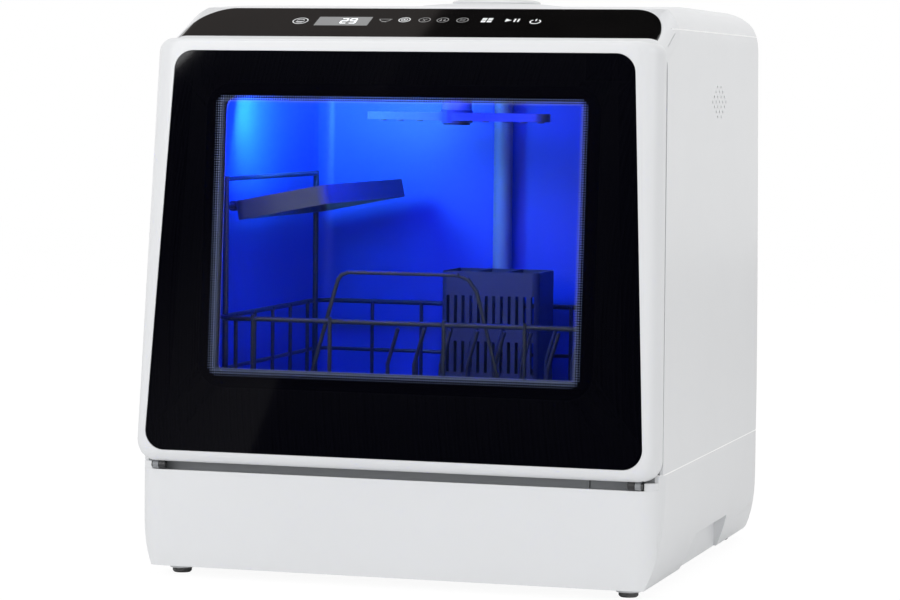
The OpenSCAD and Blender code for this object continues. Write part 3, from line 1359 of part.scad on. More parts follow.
module fan_scroll() color([0.25, 0.26, 0.28]) at() {
    difference() {
        union() {
            along_fan(0, fan_t) circle(scroll_r);
            translate([fan_x, vent_y - 18, vent_z - 46]) cube([fan_t, 36, 46]);
            translate([tub_w / 2 - 0.5, vent_y - 15.6, vent_z - 43.6]) cube([5.2, 31.2, 11.2]);
        }
        along_fan(2, fan_t - 2) circle(scroll_r - 2);
        along_fan(fan_t - 3, fan_t + 1) circle(14);
        translate([fan_x + 2, vent_y - 16, vent_z - 44]) cube([fan_t - 4, 32, 44]);
        translate([tub_w / 2 - 6, vent_y - 14, vent_z - 42]) cube([20, 28, 8]);
    }
    along_fan(1.9, 7) circle(8);
    along_fan(6.9, fan_t - 4) circle(2);
}

fan_blades = 20;
module fan_wheel() color([0.8, 0.8, 0.82]) at() difference() {
    union() {
        along_fan(8, 9.5) circle(fan_r);
        along_fan(8, fan_t - 4.5) circle(5);
        along_fan(fan_t - 5.5, fan_t - 4) difference() {
            circle(fan_r);
            circle(fan_r - 5);
        }
        for (k = [0:fan_blades - 1]) along_fan(9.4, fan_t - 5.4) rotate(k * 360 / fan_blades)
            translate([fan_r - 6, -0.6]) rotate(20) square([5.5, 1.2]);
    }
    along_fan(7, fan_t) circle(2 + run);
}

base_tray();
left_side_panel();
right_side_panel();
rear_cover();
top_cover();
front_sill();
feet();
cabinet_screws();
control_panel();
display_window();
control_board();
filler_ring();
filler_lid();
filler_funnel();
water_tank();
tub();
tub_seal();
light_bar();
latch_housing();
switch_lever();
hinge_brackets();
hinge_pins();
door_frame();
door_glass();
door_liner();
window_pane();
window_seal();
latch_striker();
hinge_arms();
door_screws();
long_wires();
cross_wires();
rim_wires();
rim_corners();
upright_wires();
cup_guard();
plate_tines();
cutlery_basket();
cup_shelf();
lower_arm_post();
lower_spray_arm();
upper_feed_pipe();
upper_spray_arm();
arm_caps();
spray_manifold();
flow_heater();
pump_volute();
pump_impeller();
wash_motor();
sump();
filter_plate();
filter_cup();
drain_pump();
hoses();
drain_port();
inlet_valve();
inlet_pump();
cord_gland();
fan_scroll();
fan_wheel();
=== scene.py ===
import bpy
import bmesh
import json
from math import atan2, radians, sin, cos, pi
from mathutils import Matrix, Vector

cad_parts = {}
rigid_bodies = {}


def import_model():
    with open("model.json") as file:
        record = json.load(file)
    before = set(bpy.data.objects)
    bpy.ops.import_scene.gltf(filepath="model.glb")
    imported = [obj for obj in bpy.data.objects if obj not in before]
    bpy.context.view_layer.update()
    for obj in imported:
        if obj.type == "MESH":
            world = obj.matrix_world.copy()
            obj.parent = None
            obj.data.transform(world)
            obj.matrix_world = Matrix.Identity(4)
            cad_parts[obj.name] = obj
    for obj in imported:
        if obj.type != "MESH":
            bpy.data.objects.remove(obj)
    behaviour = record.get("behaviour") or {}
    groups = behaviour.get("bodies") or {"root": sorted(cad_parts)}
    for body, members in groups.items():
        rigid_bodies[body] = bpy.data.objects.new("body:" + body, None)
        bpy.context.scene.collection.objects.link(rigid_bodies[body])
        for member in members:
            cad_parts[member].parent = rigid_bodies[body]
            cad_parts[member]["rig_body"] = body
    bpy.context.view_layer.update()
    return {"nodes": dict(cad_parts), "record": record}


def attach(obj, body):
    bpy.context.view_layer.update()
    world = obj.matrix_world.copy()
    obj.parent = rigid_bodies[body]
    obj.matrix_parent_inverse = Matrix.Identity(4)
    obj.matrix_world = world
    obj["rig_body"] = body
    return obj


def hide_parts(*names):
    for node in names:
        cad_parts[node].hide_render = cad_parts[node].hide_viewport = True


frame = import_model()
nodes = frame["nodes"]

# ---- camera ----

cameraView = {"place": (0.73626, -2.54019, 0.37945), "turn": 16.459, "tip": -3.667, "roll": 0.6545,
              "lens": 128.93}


def aimCamera(view):
    turn, tip, roll = (radians(view[key]) for key in ("turn", "tip", "roll"))
    level = Vector((-sin(turn), cos(turn), 0))
    across = Vector((cos(turn), sin(turn), 0))
    ahead = level * cos(tip) + Vector((0, 0, sin(tip)))
    upward = level * -sin(tip) + Vector((0, 0, cos(tip)))
    right = across * cos(roll) + upward * sin(roll)
    top = upward * cos(roll) - across * sin(roll)
    data = bpy.data.cameras.new("photoCamera")
    data.lens = view["lens"]
    data.sensor_width = 36
    data.clip_end = 50
    camera = bpy.data.objects.new("photoCamera", data)
    bpy.context.scene.collection.objects.link(camera)
    facing = Matrix((right, top, -ahead)).transposed().to_4x4()
    camera.matrix_world = Matrix.Translation(view["place"]) @ facing
    bpy.context.scene.camera = camera
    bpy.context.scene.view_settings.view_transform = "Standard"


aimCamera(cameraView)

# ---- places, in millimetres as measured on the machine ----

depthShift = 199.583                      # the measuring start is the front of the base
slope = {"y": 42.0, "z": 423.0, "angle": atan2(23.0, 54.0)}
lean = {"z": 91.5, "angle": radians(4.3)}     # of the door


def spot(x, y, z):
    return Vector((x, y - depthShift, z)) / 1000


def onSlope(x, up, out):
    c, s = cos(slope["angle"]), sin(slope["angle"])
    return spot(x, slope["y"] + up * c - out * s, slope["z"] + up * s + out * c)


slopeMatrix = Matrix.Translation(onSlope(0, 0, 0)) @ Matrix.Rotation(slope["angle"], 4, "X")

# ---- materials ----


class Signal:                             # a socket that takes plain arithmetic
    def __init__(self, finish, socket):
        self.finish = finish
        self.socket = socket

    def __add__(self, other):
        return self.finish.maths("ADD", self, other)

    __radd__ = __add__

    def __sub__(self, other):
        return self.finish.maths("SUBTRACT", self, other)

    def __rsub__(self, other):
        return self.finish.maths("SUBTRACT", other, self)

    def __mul__(self, other):
        return self.finish.maths("MULTIPLY", self, other)

    __rmul__ = __mul__

    def __lt__(self, other):
        return self.finish.maths("LESS_THAN", self, other)

    def __gt__(self, other):
        return self.finish.maths("GREATER_THAN", self, other)

    def __abs__(self):
        return self.finish.maths("ABSOLUTE", self)

    def smaller(self, other):
        return self.finish.maths("MINIMUM", self, other)

    def larger(self, other):
        return self.finish.maths("MAXIMUM", self, other)


class Finish:
    def __init__(self, name, **values):
        self.material = bpy.data.materials.new(name)
        self.material.use_nodes = True
        self.tree = self.material.node_tree
        self.shader = self.tree.nodes["Principled BSDF"]
        for key, value in values.items():
            self.shader.inputs[key.replace("_", " ")].default_value = value

    def node(self, kind, settings=None, values=None, out=0):
        item = self.tree.nodes.new(kind)
        for key, value in (settings or {}).items():
            if key == "stops":
                ramp = item.color_ramp
                for number, (place, colour) in enumerate(value):
                    stop = ramp.elements[number] if number < 2 else ramp.elements.new(place)
                    stop.position = place
                    stop.color = colour
            else:
                setattr(item, key, value)
        for key, value in (values or {}).items():
            self.feed(item.inputs[key], value)
        return Signal(self, item.outputs[out])

    def feed(self, socket, value):
        if isinstance(value, Signal):
            self.tree.links.new(value.socket, socket)
        else:
            socket.default_value = value

    def maths(self, operation, first, second=0.0):
        return self.node("ShaderNodeMath", {"operation": operation}, {0: first, 1: second})

    def coordinates(self):
        return self.node("ShaderNodeTexCoord", out="Object")

    def axes(self, vector):
        split = self.tree.nodes.new("ShaderNodeSeparateXYZ")
        self.feed(split.inputs[0], vector)
        return [Signal(self, split.outputs[k]) for k in range(3)]

    def noise(self, scale, detail=2.0):
        return self.node("ShaderNodeTexNoise", {},
                         {"Vector": self.coordinates(), "Scale": scale, "Detail": detail})

    def ramp(self, value, *stops):
        return self.node("ShaderNodeValToRGB", {"stops": stops}, {"Fac": value})

    def blend(self, mask, first, second):
        return self.node("ShaderNodeMix", {"data_type": "RGBA"}, {"Factor": mask, 6: first, 7: second}, out=2)

    def bump(self, height, strength, distance):
        bumped = self.node("ShaderNodeBump", {},
                           {"Height": height, "Strength": strength, "Distance": distance})
        self.feed(self.shader.inputs["Normal"], bumped)

    def set(self, key, value):
        self.feed(self.shader.inputs[key], value)


def grey(value, tint=(1, 1, 1)):
    return (value * tint[0], value * tint[1], value * tint[2], 1)


def mouldedPlastic(name, colour, roughness, grain=0.12, grainScale=1400, spread=0.02, coat=0.0):
    finish = Finish(name, Roughness=roughness, Coat_Weight=coat, Coat_Roughness=0.12)
    cloud = finish.noise(9, 3)
    darker = tuple(part * (1 - spread) for part in colour[:3]) + (1,)
    finish.set("Base Color", finish.ramp(cloud, (0.35, darker), (0.65, colour)))
    finish.set("Roughness", finish.noise(55, 2) * 0.1 + (roughness - 0.05))
    finish.bump(finish.noise(grainScale, 2), grain, 0.0002)
    return finish.material


def brushedMetal(name, colour, roughness, stretch=(40, 40, 1600)):
    finish = Finish(name, Metallic=1.0, Roughness=roughness)
    mapped = finish.node("ShaderNodeMapping", {}, {"Vector": finish.coordinates(), "Scale": stretch})
    lines = finish.node("ShaderNodeTexNoise", {}, {"Vector": mapped, "Scale": 1.0, "Detail": 3.0})
    finish.set("Base Color", finish.ramp(lines, (0.3, grey(colour * 0.86)), (0.7, grey(colour))))
    finish.set("Roughness", lines * 0.16 + (roughness - 0.08))
    finish.bump(lines, 0.15, 0.00005)
    return finish.material


def rubber(name, colour, roughness=0.62):
    finish = Finish(name, Roughness=roughness)
    darker, lighter = grey(colour * 0.8), grey(colour * 1.15)
    finish.set("Base Color", finish.ramp(finish.noise(70, 4), (0.3, darker), (0.7, lighter)))
    finish.bump(finish.noise(900, 3), 0.25, 0.0002)
    return finish.material


# Dots are printed on the glass round the window, and the thin lines between them glow with painted bluish
# light
windowPrint = {"halfWide": 148.5, "middle": 177.3, "halfHigh": 109.0, "round": 7.0, "border": 6.0,
               "pitch": 1.9}


def printedGlass():
    finish = Finish("printedDoorGlass", Roughness=0.03, IOR=1.45, Specular_IOR_Level=0.35)
    x, y, z = finish.axes(finish.coordinates())
    acrossMm = x * 1000.0
    upMm = (z * 1000.0 - lean["z"]) * (1 / cos(lean["angle"]))
    p = windowPrint
    sideX = abs(acrossMm) - (p["halfWide"] - p["round"])
    sideZ = abs(upMm - p["middle"]) - (p["halfHigh"] - p["round"])
    outX, outZ = sideX.larger(0.0), sideZ.larger(0.0)
    corner = finish.maths("SQRT", outX * outX + outZ * outZ)
    inside = sideX.larger(sideZ).smaller(0.0)
    away = corner + inside - p["round"]                    # millimetres beyond the edge of the window
    cellX = finish.maths("PINGPONG", acrossMm, p["pitch"] / 2) * (2 / p["pitch"])
    cellZ = finish.maths("PINGPONG", upMm, p["pitch"] / 2) * (2 / p["pitch"])
    cell = finish.maths("SQRT", cellX * cellX + cellZ * cellZ)
    level = (away + p["border"]) * (1 / p["border"])       # 0 at the clear side, 1 at the edge
    dots = cell > (1.25 - 0.85 * level.larger(0.0))
    printed = (away > 0.0).larger(dots * (away > -p["border"]))
    paintedGlowGaps = (1 - printed) * (away > -p["border"])           # painted bluish glow in the gaps between the dots
    finish.set("Base Color", finish.blend(printed, (0.003, 0.006, 0.016, 1), (0.0014, 0.0014, 0.003, 1)))
    # painted light: the gaps between the printed dots glow bluish
    finish.set("Emission Color", finish.blend(paintedGlowGaps, (0, 0, 0, 1), (0.16, 0.20, 0.34, 1)))
    finish.shader.inputs["Emission Strength"].default_value = 1.0
    finish.set("Alpha", printed * 0.86 + 0.10 + paintedGlowGaps * level * 0.4)
    return finish.material


def clearGlass():
    finish = Finish("innerPaneGlass", Roughness=0.04, IOR=1.45, Specular_IOR_Level=0.3)
    smear = finish.noise(14, 3)
    finish.set("Base Color", (0.02, 0.035, 0.07, 1))
    finish.set("Roughness", smear * 0.04 + 0.02)
    finish.set("Alpha", smear * 0.02 + 0.04)
    return finish.material


def blackPanel():
    finish = Finish("polishedBlackPanel", Roughness=0.06, Coat_Weight=0.4, Coat_Roughness=0.03,
                    Specular_IOR_Level=0.4)
    finish.set("Base Color", finish.ramp(finish.noise(20, 2), (0.3, (0.0045, 0.0042, 0.0042, 1)),
                                        (0.7, (0.006, 0.0055, 0.0055, 1))))
    finish.set("Roughness", finish.noise(40, 2) * 0.04 + 0.04)
    return finish.material


# The tub is pale plastic; inside it, blue light is painted into its colour, with a painted glow brighter
# towards the top and the left
tubInside = {"halfWide": 0.1708, "low": 0.1103, "high": 0.3937, "front": -0.166}      # metres


def tubWithPaintedBlueLight(name):
    finish = Finish(name, Roughness=0.42)
    x, y, z = finish.axes(finish.coordinates())
    between = (z > tubInside["low"]) * (z < tubInside["high"])
    inside = (abs(x) < tubInside["halfWide"]) * between * (y > tubInside["front"])
    cloud = finish.noise(12, 3)
    # painted blue light: the pale plastic is coloured deep blue inside the tub
    paintedBlueLight = finish.ramp(cloud, (0.3, (0.03, 0.09, 0.50, 1)), (0.7, (0.04, 0.11, 0.56, 1)))
    finish.set("Base Color", finish.blend(inside, (0.72, 0.73, 0.745, 1), paintedBlueLight))
    finish.bump(finish.noise(700, 2), 0.1, 0.0002)
    # painted glow: emission inside the tub only, brighter towards the top and the left
    high = ((z - 0.1) * (1 / 0.3)).larger(0.0).smaller(1.0)
    paintedGlowLeftward = ((0.17 - x) * (1 / 0.34)).larger(0.0).smaller(1.0)
    glow = high * (0.35 + 0.65 * paintedGlowLeftward) * inside
    finish.set("Emission Color", finish.ramp(glow, (0.0, (0.0, 0.0, 0.0, 1)), (0.05, (0.0, 0.002, 0.07, 1)),
                                            (0.6, (0.001, 0.016, 0.42, 1)), (1.0, (0.02, 0.22, 0.8, 1))))
    finish.shader.inputs["Emission Strength"].default_value = 0.3
    return finish.material


def lampCover():
    finish = Finish("blueLampCover", Roughness=0.3)
    cloud = finish.noise(60, 2)
    finish.set("Base Color", finish.ramp(cloud, (0.3, (0.4, 0.7, 1, 1)), (0.7, (0.5, 0.8, 1, 1))))
    finish.set("Emission Color", (0.12, 0.42, 1.0, 1))
    finish.shader.inputs["Emission Strength"].default_value = 3.0
    return finish.material


# painted highlight: seam fillers paler than the cabinet, with a little glow
def paintedSeamHighlight():
    finish = Finish("seamLight", Roughness=0.4)
    finish.set("Base Color", finish.ramp(finish.noise(30, 2), (0.3, grey(0.92)), (0.7, grey(0.95))))
    finish.set("Emission Color", (1, 1, 1, 1))
    finish.shader.inputs["Emission Strength"].default_value = 0.14
    return finish.material


def boardGreen():
    finish = Finish("circuitBoard", Roughness=0.45)
    tracks = finish.node("ShaderNodeTexVoronoi", {"feature": "DISTANCE_TO_EDGE"},
                         {"Vector": finish.coordinates(), "Scale": 260.0}, out="Distance")
    finish.set("Base Color", finish.ramp(tracks, (0.05, (0.05, 0.3, 0.13, 1)), (0.12, (0.01, 0.1, 0.05, 1))))
    return finish.material


paints = {
    "cabinet_white": mouldedPlastic("cabinetWhite", (0.80, 0.81, 0.825, 1), 0.34, 0.06, 1500, 0.012, 0.15),
    "sill_grey": mouldedPlastic("sillGrey", (0.30, 0.31, 0.325, 1), 0.5),
    "foot_rubber": rubber("footRubber", 0.12),
    "screw_steel": brushedMetal("screwSteel", 0.6, 0.35),
    "panel_black": blackPanel(),
    "display_dark": mouldedPlastic("displaySmoke", (0.36, 0.365, 0.37, 1), 0.16, 0.0, 800, 0.05),
    "board_green": boardGreen(),
    "tub_plastic": tubWithPaintedBlueLight("litTubPlastic"),
    "tank_plastic": mouldedPlastic("milkyTank", (0.72, 0.75, 0.77, 1), 0.45, 0.1, 500, 0.06),
    "seal_rubber": rubber("sealRubber", 0.06),
    "light_blue": lampCover(),
    "inner_grey": mouldedPlastic("innerGrey", (0.36, 0.37, 0.38, 1), 0.45),
    "inner_black": mouldedPlastic("innerBlack", (0.045, 0.046, 0.05, 1), 0.5),
    "bright_steel": brushedMetal("brightSteel", 0.68, 0.28),
    "hinge_black": mouldedPlastic("hingeBlack", (0.02, 0.02, 0.022, 1), 0.38),
    "door_glass_black": printedGlass(),
    "clear_glass": clearGlass(),
    # dark wire coating, with painted blue light as a bluish tint in its colour
    "basket_coat": mouldedPlastic("coatedWire", (0.035, 0.046, 0.075, 1), 0.3, 0.15, 900, 0.12),
    "cutlery_grey": mouldedPlastic("cutleryGrey", (0.05, 0.06, 0.085, 1), 0.42),
    "shelf_grey": mouldedPlastic("shelfGrey", (0.11, 0.13, 0.18, 1), 0.42),
    "arm_grey": mouldedPlastic("armGrey", (0.10, 0.11, 0.14, 1), 0.4),
    "impeller_white": mouldedPlastic("impellerWhite", (0.7, 0.7, 0.68, 1), 0.4),
    "motor_steel": brushedMetal("motorSteel", 0.5, 0.4),
    "filter_blue": mouldedPlastic("filterBlue", (0.06, 0.16, 0.3, 1), 0.4),
    "hose_grey": rubber("hoseGrey", 0.24, 0.5),
    "port_black": mouldedPlastic("portBlack", (0.02, 0.02, 0.021, 1), 0.45),
    "valve_blue": mouldedPlastic("valveBlue", (0.05, 0.1, 0.3, 1), 0.4),
    # the seam fillers carry a painted highlight
    "seam_light": paintedSeamHighlight(),
    "pale_bracket": mouldedPlastic("paleBracket", (0.26, 0.27, 0.285, 1), 0.45),
    "dark_pin": brushedMetal("darkPin", 0.12, 0.4),
    "pale_liner": mouldedPlastic("paleLiner", (0.66, 0.67, 0.69, 1), 0.42),
}
slotOf = {entry["node"]: entry["material_slot"] for entry in frame["record"]["subparts"]}
for name, piece in nodes.items():
    piece.data.materials.clear()
    piece.data.materials.append(paints[slotOf[name]])
print("materials ready")

# ---- making pieces ----


def newPiece(shell, name, paint, body, covers=(), smooth=True, sharp=35):
    for face in shell.faces:
        face.smooth = smooth
    for edge in shell.edges:
        edge.smooth = len(edge.link_faces) == 2 and edge.calc_face_angle(0) < radians(sharp)
    mesh = bpy.data.meshes.new(name)
    shell.to_mesh(mesh)
    shell.free()
    mesh.materials.append(paints[paint])
    piece = bpy.data.objects.new(name, mesh)
    bpy.context.scene.collection.objects.link(piece)
    if smooth:
        even = piece.modifiers.new("evenNormals", "WEIGHTED_NORMAL")
        even.keep_sharp = True
    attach(piece, body)
    paint in slotOf.values()
    if covers:
        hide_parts(*covers)
    return piece


# These nodes share a slot with others but have a finish of their own
ownPaint = {"door_liner": "pale_liner", "hinge_brackets": "pale_bracket", "hinge_pins": "dark_pin"}


def softCopy(node):
    paint = ownPaint.get(node, slotOf[node])
    shell = bmesh.new()
    shell.from_mesh(nodes[node].data)
    bmesh.ops.remove_doubles(shell, verts=shell.verts, dist=0.000002)
    bmesh.ops.dissolve_degenerate(shell, edges=shell.edges, dist=0.000001)
    return newPiece(shell, node + "_smooth", paint, nodes[node]["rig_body"], [node])


for node in nodes:
    if node not in ("control_board", "display_window", "door_glass", "window_pane", "control_panel"):
        softCopy(node)
print("smooth shells ready")

# ---- seams filled with a painted highlight, and the white ends of the hinge gap ----

seams = {"inset": 0.08, "gap": 0.75, "level": 0.02, "cover": 430.1, "base": 94.6}
sillEnd = {"inner": 197.4, "front": 2.4, "back": 10.3, "low": 83.75, "high": 89.3, "half": 209.8,
           "round": 22.0, "inset": 0.2, "steps": 8}


def seamFill(name, node, height):
    shell = bmesh.new()
    shell.from_mesh(nodes[node].data)
    rim = [face for face in shell.faces if face.normal.z > 0.99
           and abs(face.calc_center_median().z * 1000 - height) < seams["level"]]
    rest = [face for face in shell.faces if face not in set(rim)]
    bmesh.ops.delete(shell, geom=rest, context="FACES")
    bmesh.ops.remove_doubles(shell, verts=shell.verts, dist=0.00001)
    border = bmesh.ops.inset_region(shell, faces=shell.faces[:], thickness=seams["inset"] / 1000,
                                    use_boundary=True)
    bmesh.ops.delete(shell, geom=border["faces"], context="FACES")
    lifted = bmesh.ops.extrude_face_region(shell, geom=shell.faces[:])
    raised = [part for part in lifted["geom"] if isinstance(part, bmesh.types.BMVert)]
    bmesh.ops.translate(shell, verts=raised, vec=(0, 0, seams["gap"] / 1000))
    bmesh.ops.recalc_face_normals(shell, faces=shell.faces)
    # the filler strip is painted as a light seam highlight
    newPiece(shell, name, "seam_light", "cabinet", smooth=False)


def sillEnds():
    shell = bmesh.new()
    e = sillEnd
    steps = [e["front"] + (e["back"] - e["front"]) * k / e["steps"] for k in range(e["steps"] + 1)]
    curve = [(e["half"] - e["round"] + (e["round"] ** 2 - (e["round"] - y) ** 2) ** 0.5 - e["inset"], y)
             for y in steps]
    for side in (-1, 1):
        outline = [(e["inner"], e["back"]), (e["inner"], e["front"])] + curve
        base = [shell.verts.new(spot(side * x, y, e["low"])) for x, y in outline]
        lifted = bmesh.ops.extrude_face_region(shell, geom=[shell.faces.new(base)])
        raised = [part for part in lifted["geom"] if isinstance(part, bmesh.types.BMVert)]
        bmesh.ops.translate(shell, verts=raised, vec=(0, 0, (e["high"] - e["low"]) / 1000))
    bmesh.ops.recalc_face_normals(shell, faces=shell.faces)
    newPiece(shell, "sill_ends", "cabinet_white", "cabinet")


for name, node, level in (("seam_right", "right_side_panel", "cover"),
                          ("seam_left", "left_side_panel", "cover"),
                          ("seam_rear", "rear_cover", "cover"), ("seam_base", "base_tray", "base")):
    seamFill(name, node, seams[level])
sillEnds()
print("seams ready")


# ---- signs on the panel ----

signs = {"mark": 31.2, "height": 34.3, "proud": 0.06}


def inkFinish(name, colour, strength):
    finish = Finish(name, Roughness=0.4)
    cloud = finish.noise(400, 2)
    finish.set("Base Color", finish.ramp(cloud, (0.3, grey(colour * 0.92)), (0.7, grey(colour))))
    finish.set("Emission Color", (0.9, 0.95, 1, 1))
    finish.shader.inputs["Emission Strength"].default_value = strength
    return finish.material


paints["signInk"] = inkFinish("signInk", 0.30, 0.02)
paints["litInk"] = inkFinish("litInk", 0.72, 0.25)
paints["litDigits"] = inkFinish("litDigits", 0.85, 0.7)


def flatLoop(shell, points):
    verts = [shell.verts.new((x / 1000, y / 1000, 0)) for x, y in points]
    return shell.faces.new(verts)


def ringShape(shell, middle, outer, inner, start=0, end=360, parts=24):
    for k in range(parts):
        a, b = (radians(start + (end - start) * (k + step) / parts) for step in (0, 1))
        flatLoop(shell, [(middle[0] + r * cos(t), middle[1] + r * sin(t)) for r, t in
                         ((inner, a), (outer, a), (outer, b), (inner, b))])


def stroke(shell, a, b, wide):
    along = Vector((b[0] - a[0], b[1] - a[1])).normalized()
    side = Vector((-along.y, along.x)) * wide / 2
    flatLoop(shell, [(a[0] - side.x, a[1] - side.y), (b[0] - side.x, b[1] - side.y),
                     (b[0] + side.x, b[1] + side.y), (a[0] + side.x, a[1] + side.y)])


def disc(shell, middle, r, parts=16):
    turns = [2 * pi * k / parts for k in range(parts)]
    flatLoop(shell, [(middle[0] + r * cos(turn), middle[1] + r * sin(turn)) for turn in turns])


def signPiece(name, paint, draw, proud=None):
    shell = bmesh.new()
    draw(shell)
    bmesh.ops.recalc_face_normals(shell, faces=shell.faces)
    for face in list(shell.faces):
        if face.normal.z < 0:
            face.normal_flip()
    lifted = bmesh.ops.extrude_face_region(shell, geom=shell.faces[:])
    moved = [part for part in lifted["geom"] if isinstance(part, bmesh.types.BMVert)]
    bmesh.ops.translate(shell, verts=moved, vec=(0, 0, (proud or signs["proud"]) / 1000))
    bmesh.ops.recalc_face_normals(shell, faces=shell.faces)
    bmesh.ops.transform(shell, matrix=slopeMatrix, verts=shell.verts)
    return newPiece(shell, name, paint, "cabinet", smooth=False)


def drawLitSymbols(shell):
    v = signs["mark"]
    ringShape(shell, (-101.6, v), 6.4, 5.6)                       # round mark with a small bow
    ringShape(shell, (-101.6, v), 3.6, 2.9, 20, 160)
    stroke(shell, (-105.2, v - 1.2), (-98.0, v - 1.2), 0.9)
    stroke(shell, (-104, v - 3.0), (-99.2, v - 3.0), 0.8)
    ringShape(shell, (89.8, v + 0.5), 4.6, 3.5, 125, 415)         # power
    stroke(shell, (89.8, v + 1.8), (89.8, v + 6.0), 1.1)
    v = signs["height"]
    for dx in (-2.4, 2.4):                                        # four squares
        for dy in (-2.4, 2.4):
            flatLoop(shell, [(50.4 + dx + sx * 1.9, v + dy + sy * 1.9)
                             for sx, sy in ((-1, -1), (1, -1), (1, 1), (-1, 1))])
    flatLoop(shell, [(65.4, v - 3.2), (70.2, v), (65.4, v + 3.2)])  # start and pause
    stroke(shell, (72.8, v - 3.2), (72.8, v + 3.2), 1.4)
    stroke(shell, (75.8, v - 3.2), (75.8, v + 3.2), 1.4)
    ringShape(shell, (-16.6, v), 4.9, 4.1)                        # plate
    ringShape(shell, (-16.6, v), 2.7, 2.0)
    disc(shell, (-16.6, v), 0.9)


def drawDimSymbols(shell):
    v = signs["height"]
    for x, kind in ((-32.3, 0), (-0.2, 2), (14.6, 3), (30.6, 4)):
        if kind == 0:                                             # bowl
            ringShape(shell, (x, v + 1), 4.8, 4.1, 180, 360)
            stroke(shell, (x - 5.4, v + 1.2), (x + 5.4, v + 1.2), 0.7)
            stroke(shell, (x - 2, v - 4.4), (x + 2, v - 4.4), 0.7)
        else:
            ringShape(shell, (x, v), 4.9, 4.2)
        if kind == 2:                                             # glass
            stroke(shell, (x, v - 2.4), (x, v + 0.4), 0.6)
            stroke(shell, (x - 1.6, v - 2.5), (x + 1.6, v - 2.5), 0.6)
            ringShape(shell, (x, v + 2), 1.9, 1.3, 180, 360, 12)
        if kind == 3:                                             # drops
            for side in (-1.5, 1.5):
                disc(shell, (x + side, v - 0.8), 1.0)
                stroke(shell, (x + side, v), (x + side, v + 2.2), 0.6)
        if kind == 4:                                             # waves
            for row in (-1.5, 0.2, 1.9):
                ringShape(shell, (x - 1.2, v + row - 0.9), 1.5, 1.0, 40, 140, 6)
                ringShape(shell, (x + 1.2, v + row + 0.9), 1.5, 1.0, 220, 320, 6)


def drawDigits(shell):
    segments = {"2": "abged", "9": "abcdfg"}
    wide, high, v = 4.6, 4.6, signs["mark"] + 0.3
    for digit, left in (("2", -67.6), ("9", -60.4)):
        corners = {"a": ((0, high), (wide, high)), "g": ((0, 0), (wide, 0)), "d": ((0, -high), (wide, -high)),
                   "b": ((wide, high), (wide, 0)), "c": ((wide, 0), (wide, -high)),
                   "f": ((0, high), (0, 0)), "e": ((0, 0), (0, -high))}
        for key in segments[digit]:
            (ax, ay), (bx, by) = corners[key]
            stroke(shell, (left + ax, v + ay), (left + bx, v + by), 1.4)


signPiece("panel_signs", "signInk", drawDimSymbols)
signPiece("lit_signs", "litInk", drawLitSymbols)
signPiece("time_digits", "litDigits", drawDigits, 0.05)
print("panel signs ready")

# ---- light, floor and background ----


def lampBox(name, place, target, size, watts, colour=(1, 1, 1), sizeY=None):
    data = bpy.data.lights.new(name, "AREA")
    data.energy = watts
    data.color = colour
    data.size = size
    if sizeY:
        data.shape = "RECTANGLE"
        data.size_y = sizeY
    lamp = bpy.data.objects.new(name, data)
    bpy.context.scene.collection.objects.link(lamp)
    lamp.location = place
    lamp.rotation_euler = (Vector(target) - Vector(place)).to_track_quat("-Z", "Y").to_euler()
    return lamp


def paintedWorld(diffuse):
    world = bpy.data.worlds.new("paleRoom")
    bpy.context.scene.world = world
    world.use_nodes = True
    tree = world.node_tree
    back = tree.nodes["Background"]
    rays = tree.nodes.new("ShaderNodeLightPath")
    most = rays.outputs["Is Camera Ray"]
    for key in ("Is Glossy Ray", "Is Transmission Ray"):
        step = tree.nodes.new("ShaderNodeMath")
        step.operation = "MAXIMUM"
        tree.links.new(most, step.inputs[0])
        tree.links.new(rays.outputs[key], step.inputs[1])
        most = step.outputs[0]
    mixer = tree.nodes.new("ShaderNodeMapRange")
    tree.links.new(most, mixer.inputs["Value"])
    mixer.inputs["To Min"].default_value = diffuse
    mixer.inputs["To Max"].default_value = 1.0
    tree.links.new(mixer.outputs[0], back.inputs["Strength"])
    back.inputs["Color"].default_value = (1, 1, 1, 1)


def paleFloor():
    shell = bmesh.new()
    bmesh.ops.create_grid(shell, x_segments=1, y_segments=1, size=6)
    mesh = bpy.data.meshes.new("paleFloor")
    shell.to_mesh(mesh)
    shell.free()
    finish = Finish("paleFloorPaint", Roughness=0.7)
    finish.set("Base Color", finish.ramp(finish.noise(3, 2), (0.3, grey(0.93)), (0.7, grey(0.95))))
    bright = finish.node("ShaderNodeEmission", {}, {"Color": (1, 1, 1, 1), "Strength": 1.045})
    seen = finish.node("ShaderNodeLightPath", out="Is Camera Ray")
    plain = Signal(finish, finish.shader.outputs[0])
    mixed = finish.node("ShaderNodeMixShader", {}, {0: seen * 0.9, 1: plain, 2: bright})
    finish.tree.links.new(mixed.socket, finish.tree.nodes["Material Output"].inputs["Surface"])
    mesh.materials.append(finish.material)
    floor = bpy.data.objects.new("paleFloor", mesh)
    bpy.context.scene.collection.objects.link(floor)


def upright(y, *corners):
    return [(x, y, z) for x, z in corners]


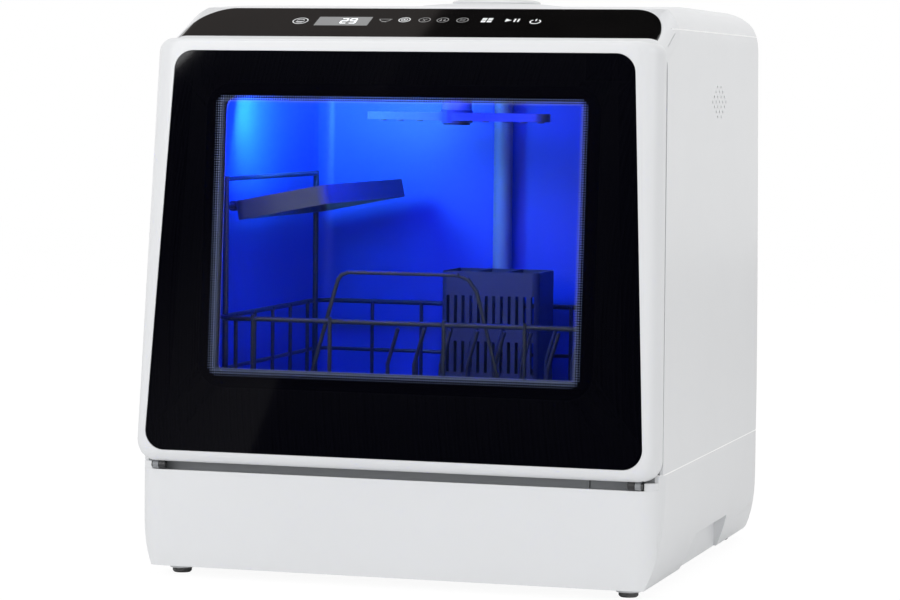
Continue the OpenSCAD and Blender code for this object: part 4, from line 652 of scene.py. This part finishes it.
# Dark and dim cards that only show in the polished black parts
def reflectedCard(name, corners, strength, tint=(1, 1, 1), fade=None):
    shell = bmesh.new()
    shell.faces.new([shell.verts.new(corner) for corner in corners])
    mesh = bpy.data.meshes.new(name)
    shell.to_mesh(mesh)
    shell.free()
    finish = Finish(name + "Paint")
    glow = finish.node("ShaderNodeEmission", {}, {"Color": tint + (1,), "Strength": strength})
    if fade:
        x, y, z = finish.axes(finish.coordinates())
        level = (z * fade[2] + x * fade[0] + fade[3]).larger(0.0).smaller(1.0)
        glow = finish.node("ShaderNodeEmission", {}, {"Color": tint + (1,), "Strength": level * strength})
    finish.tree.links.new(glow.socket, finish.tree.nodes["Material Output"].inputs["Surface"])
    mesh.materials.append(finish.material)
    card = bpy.data.objects.new(name, mesh)
    bpy.context.scene.collection.objects.link(card)
    for ray in ("camera", "diffuse", "transmission", "volume_scatter", "shadow"):
        setattr(card, "visible_" + ray, False)


def onlyInside(lamp, pieces):
    inside = bpy.data.collections.new(lamp.name + "Reach")
    for piece in pieces:
        inside.objects.link(piece)
    lamp.light_linking.receiver_collection = inside


insideNames = ("tub", "long_wires", "cross_wires", "rim_wires", "rim_corners", "upright_wires", "cup_guard",
               "plate_tines", "cutlery_basket", "cup_shelf", "lower_spray_arm", "upper_spray_arm",
               "upper_feed_pipe", "lower_arm_post", "arm_caps", "filter_plate", "filter_cup", "light_bar",
               "door_liner", "window_seal")
paintedWorld(0.55)
paleFloor()
lampBox("keyBox", (-1.2, -3.0, 1.5), (0, 0, 0.2), 1.5, 34)
lampBox("sideBox", (2.4, -0.7, 1.3), (0.1, 0, 0.25), 1.4, 8)
lampBox("topBox", (0.1, 0.3, 2.3), (0, 0, 0.4), 1.6, 12)
reflectedCard("darkCard", upright(-3.22, (-2.4, -0.3), (0.6, -0.3), (0.6, 1.5), (-2.4, 1.5)), 0.0)
reflectedCard("dimCard", upright(-3.2, (-2.0, -0.06), (-1.276, -0.06), (-0.9, 1.07), (-2.0, 1.07)), 0.5,
              (1, 0.98, 1), (0.8, 0, -0.75, 1.5))
reflectedCard("highDark", upright(2.02, (-2.4, 1.6), (0.4, 1.6), (0.4, 3.4), (-2.4, 3.4)), 0.0)
reflectedCard("highDim", upright(2.0, (-2.4, 1.6), (-0.186, 1.6), (-1.54, 3.4), (-2.4, 3.4)), 0.12,
              (1, 0.9, 0.86))
for name, place, target, size, watts, colour, across in (
        ("tubLamp", spot(-40, 66, 384), spot(-60, 160, 200), 0.2, 1.3, (0.0005, 0.02, 1.0), 0.012),
        ("tubCorner", spot(-128, 120, 376), spot(-150, 230, 330), 0.05, 0.9, (0.09, 0.42, 1.0), 0.05)):
    lamp = lampBox(name, place, target, size, watts, colour, across)
    onlyInside(lamp, [bpy.data.objects[part + "_smooth"] for part in insideNames])
print("light ready")
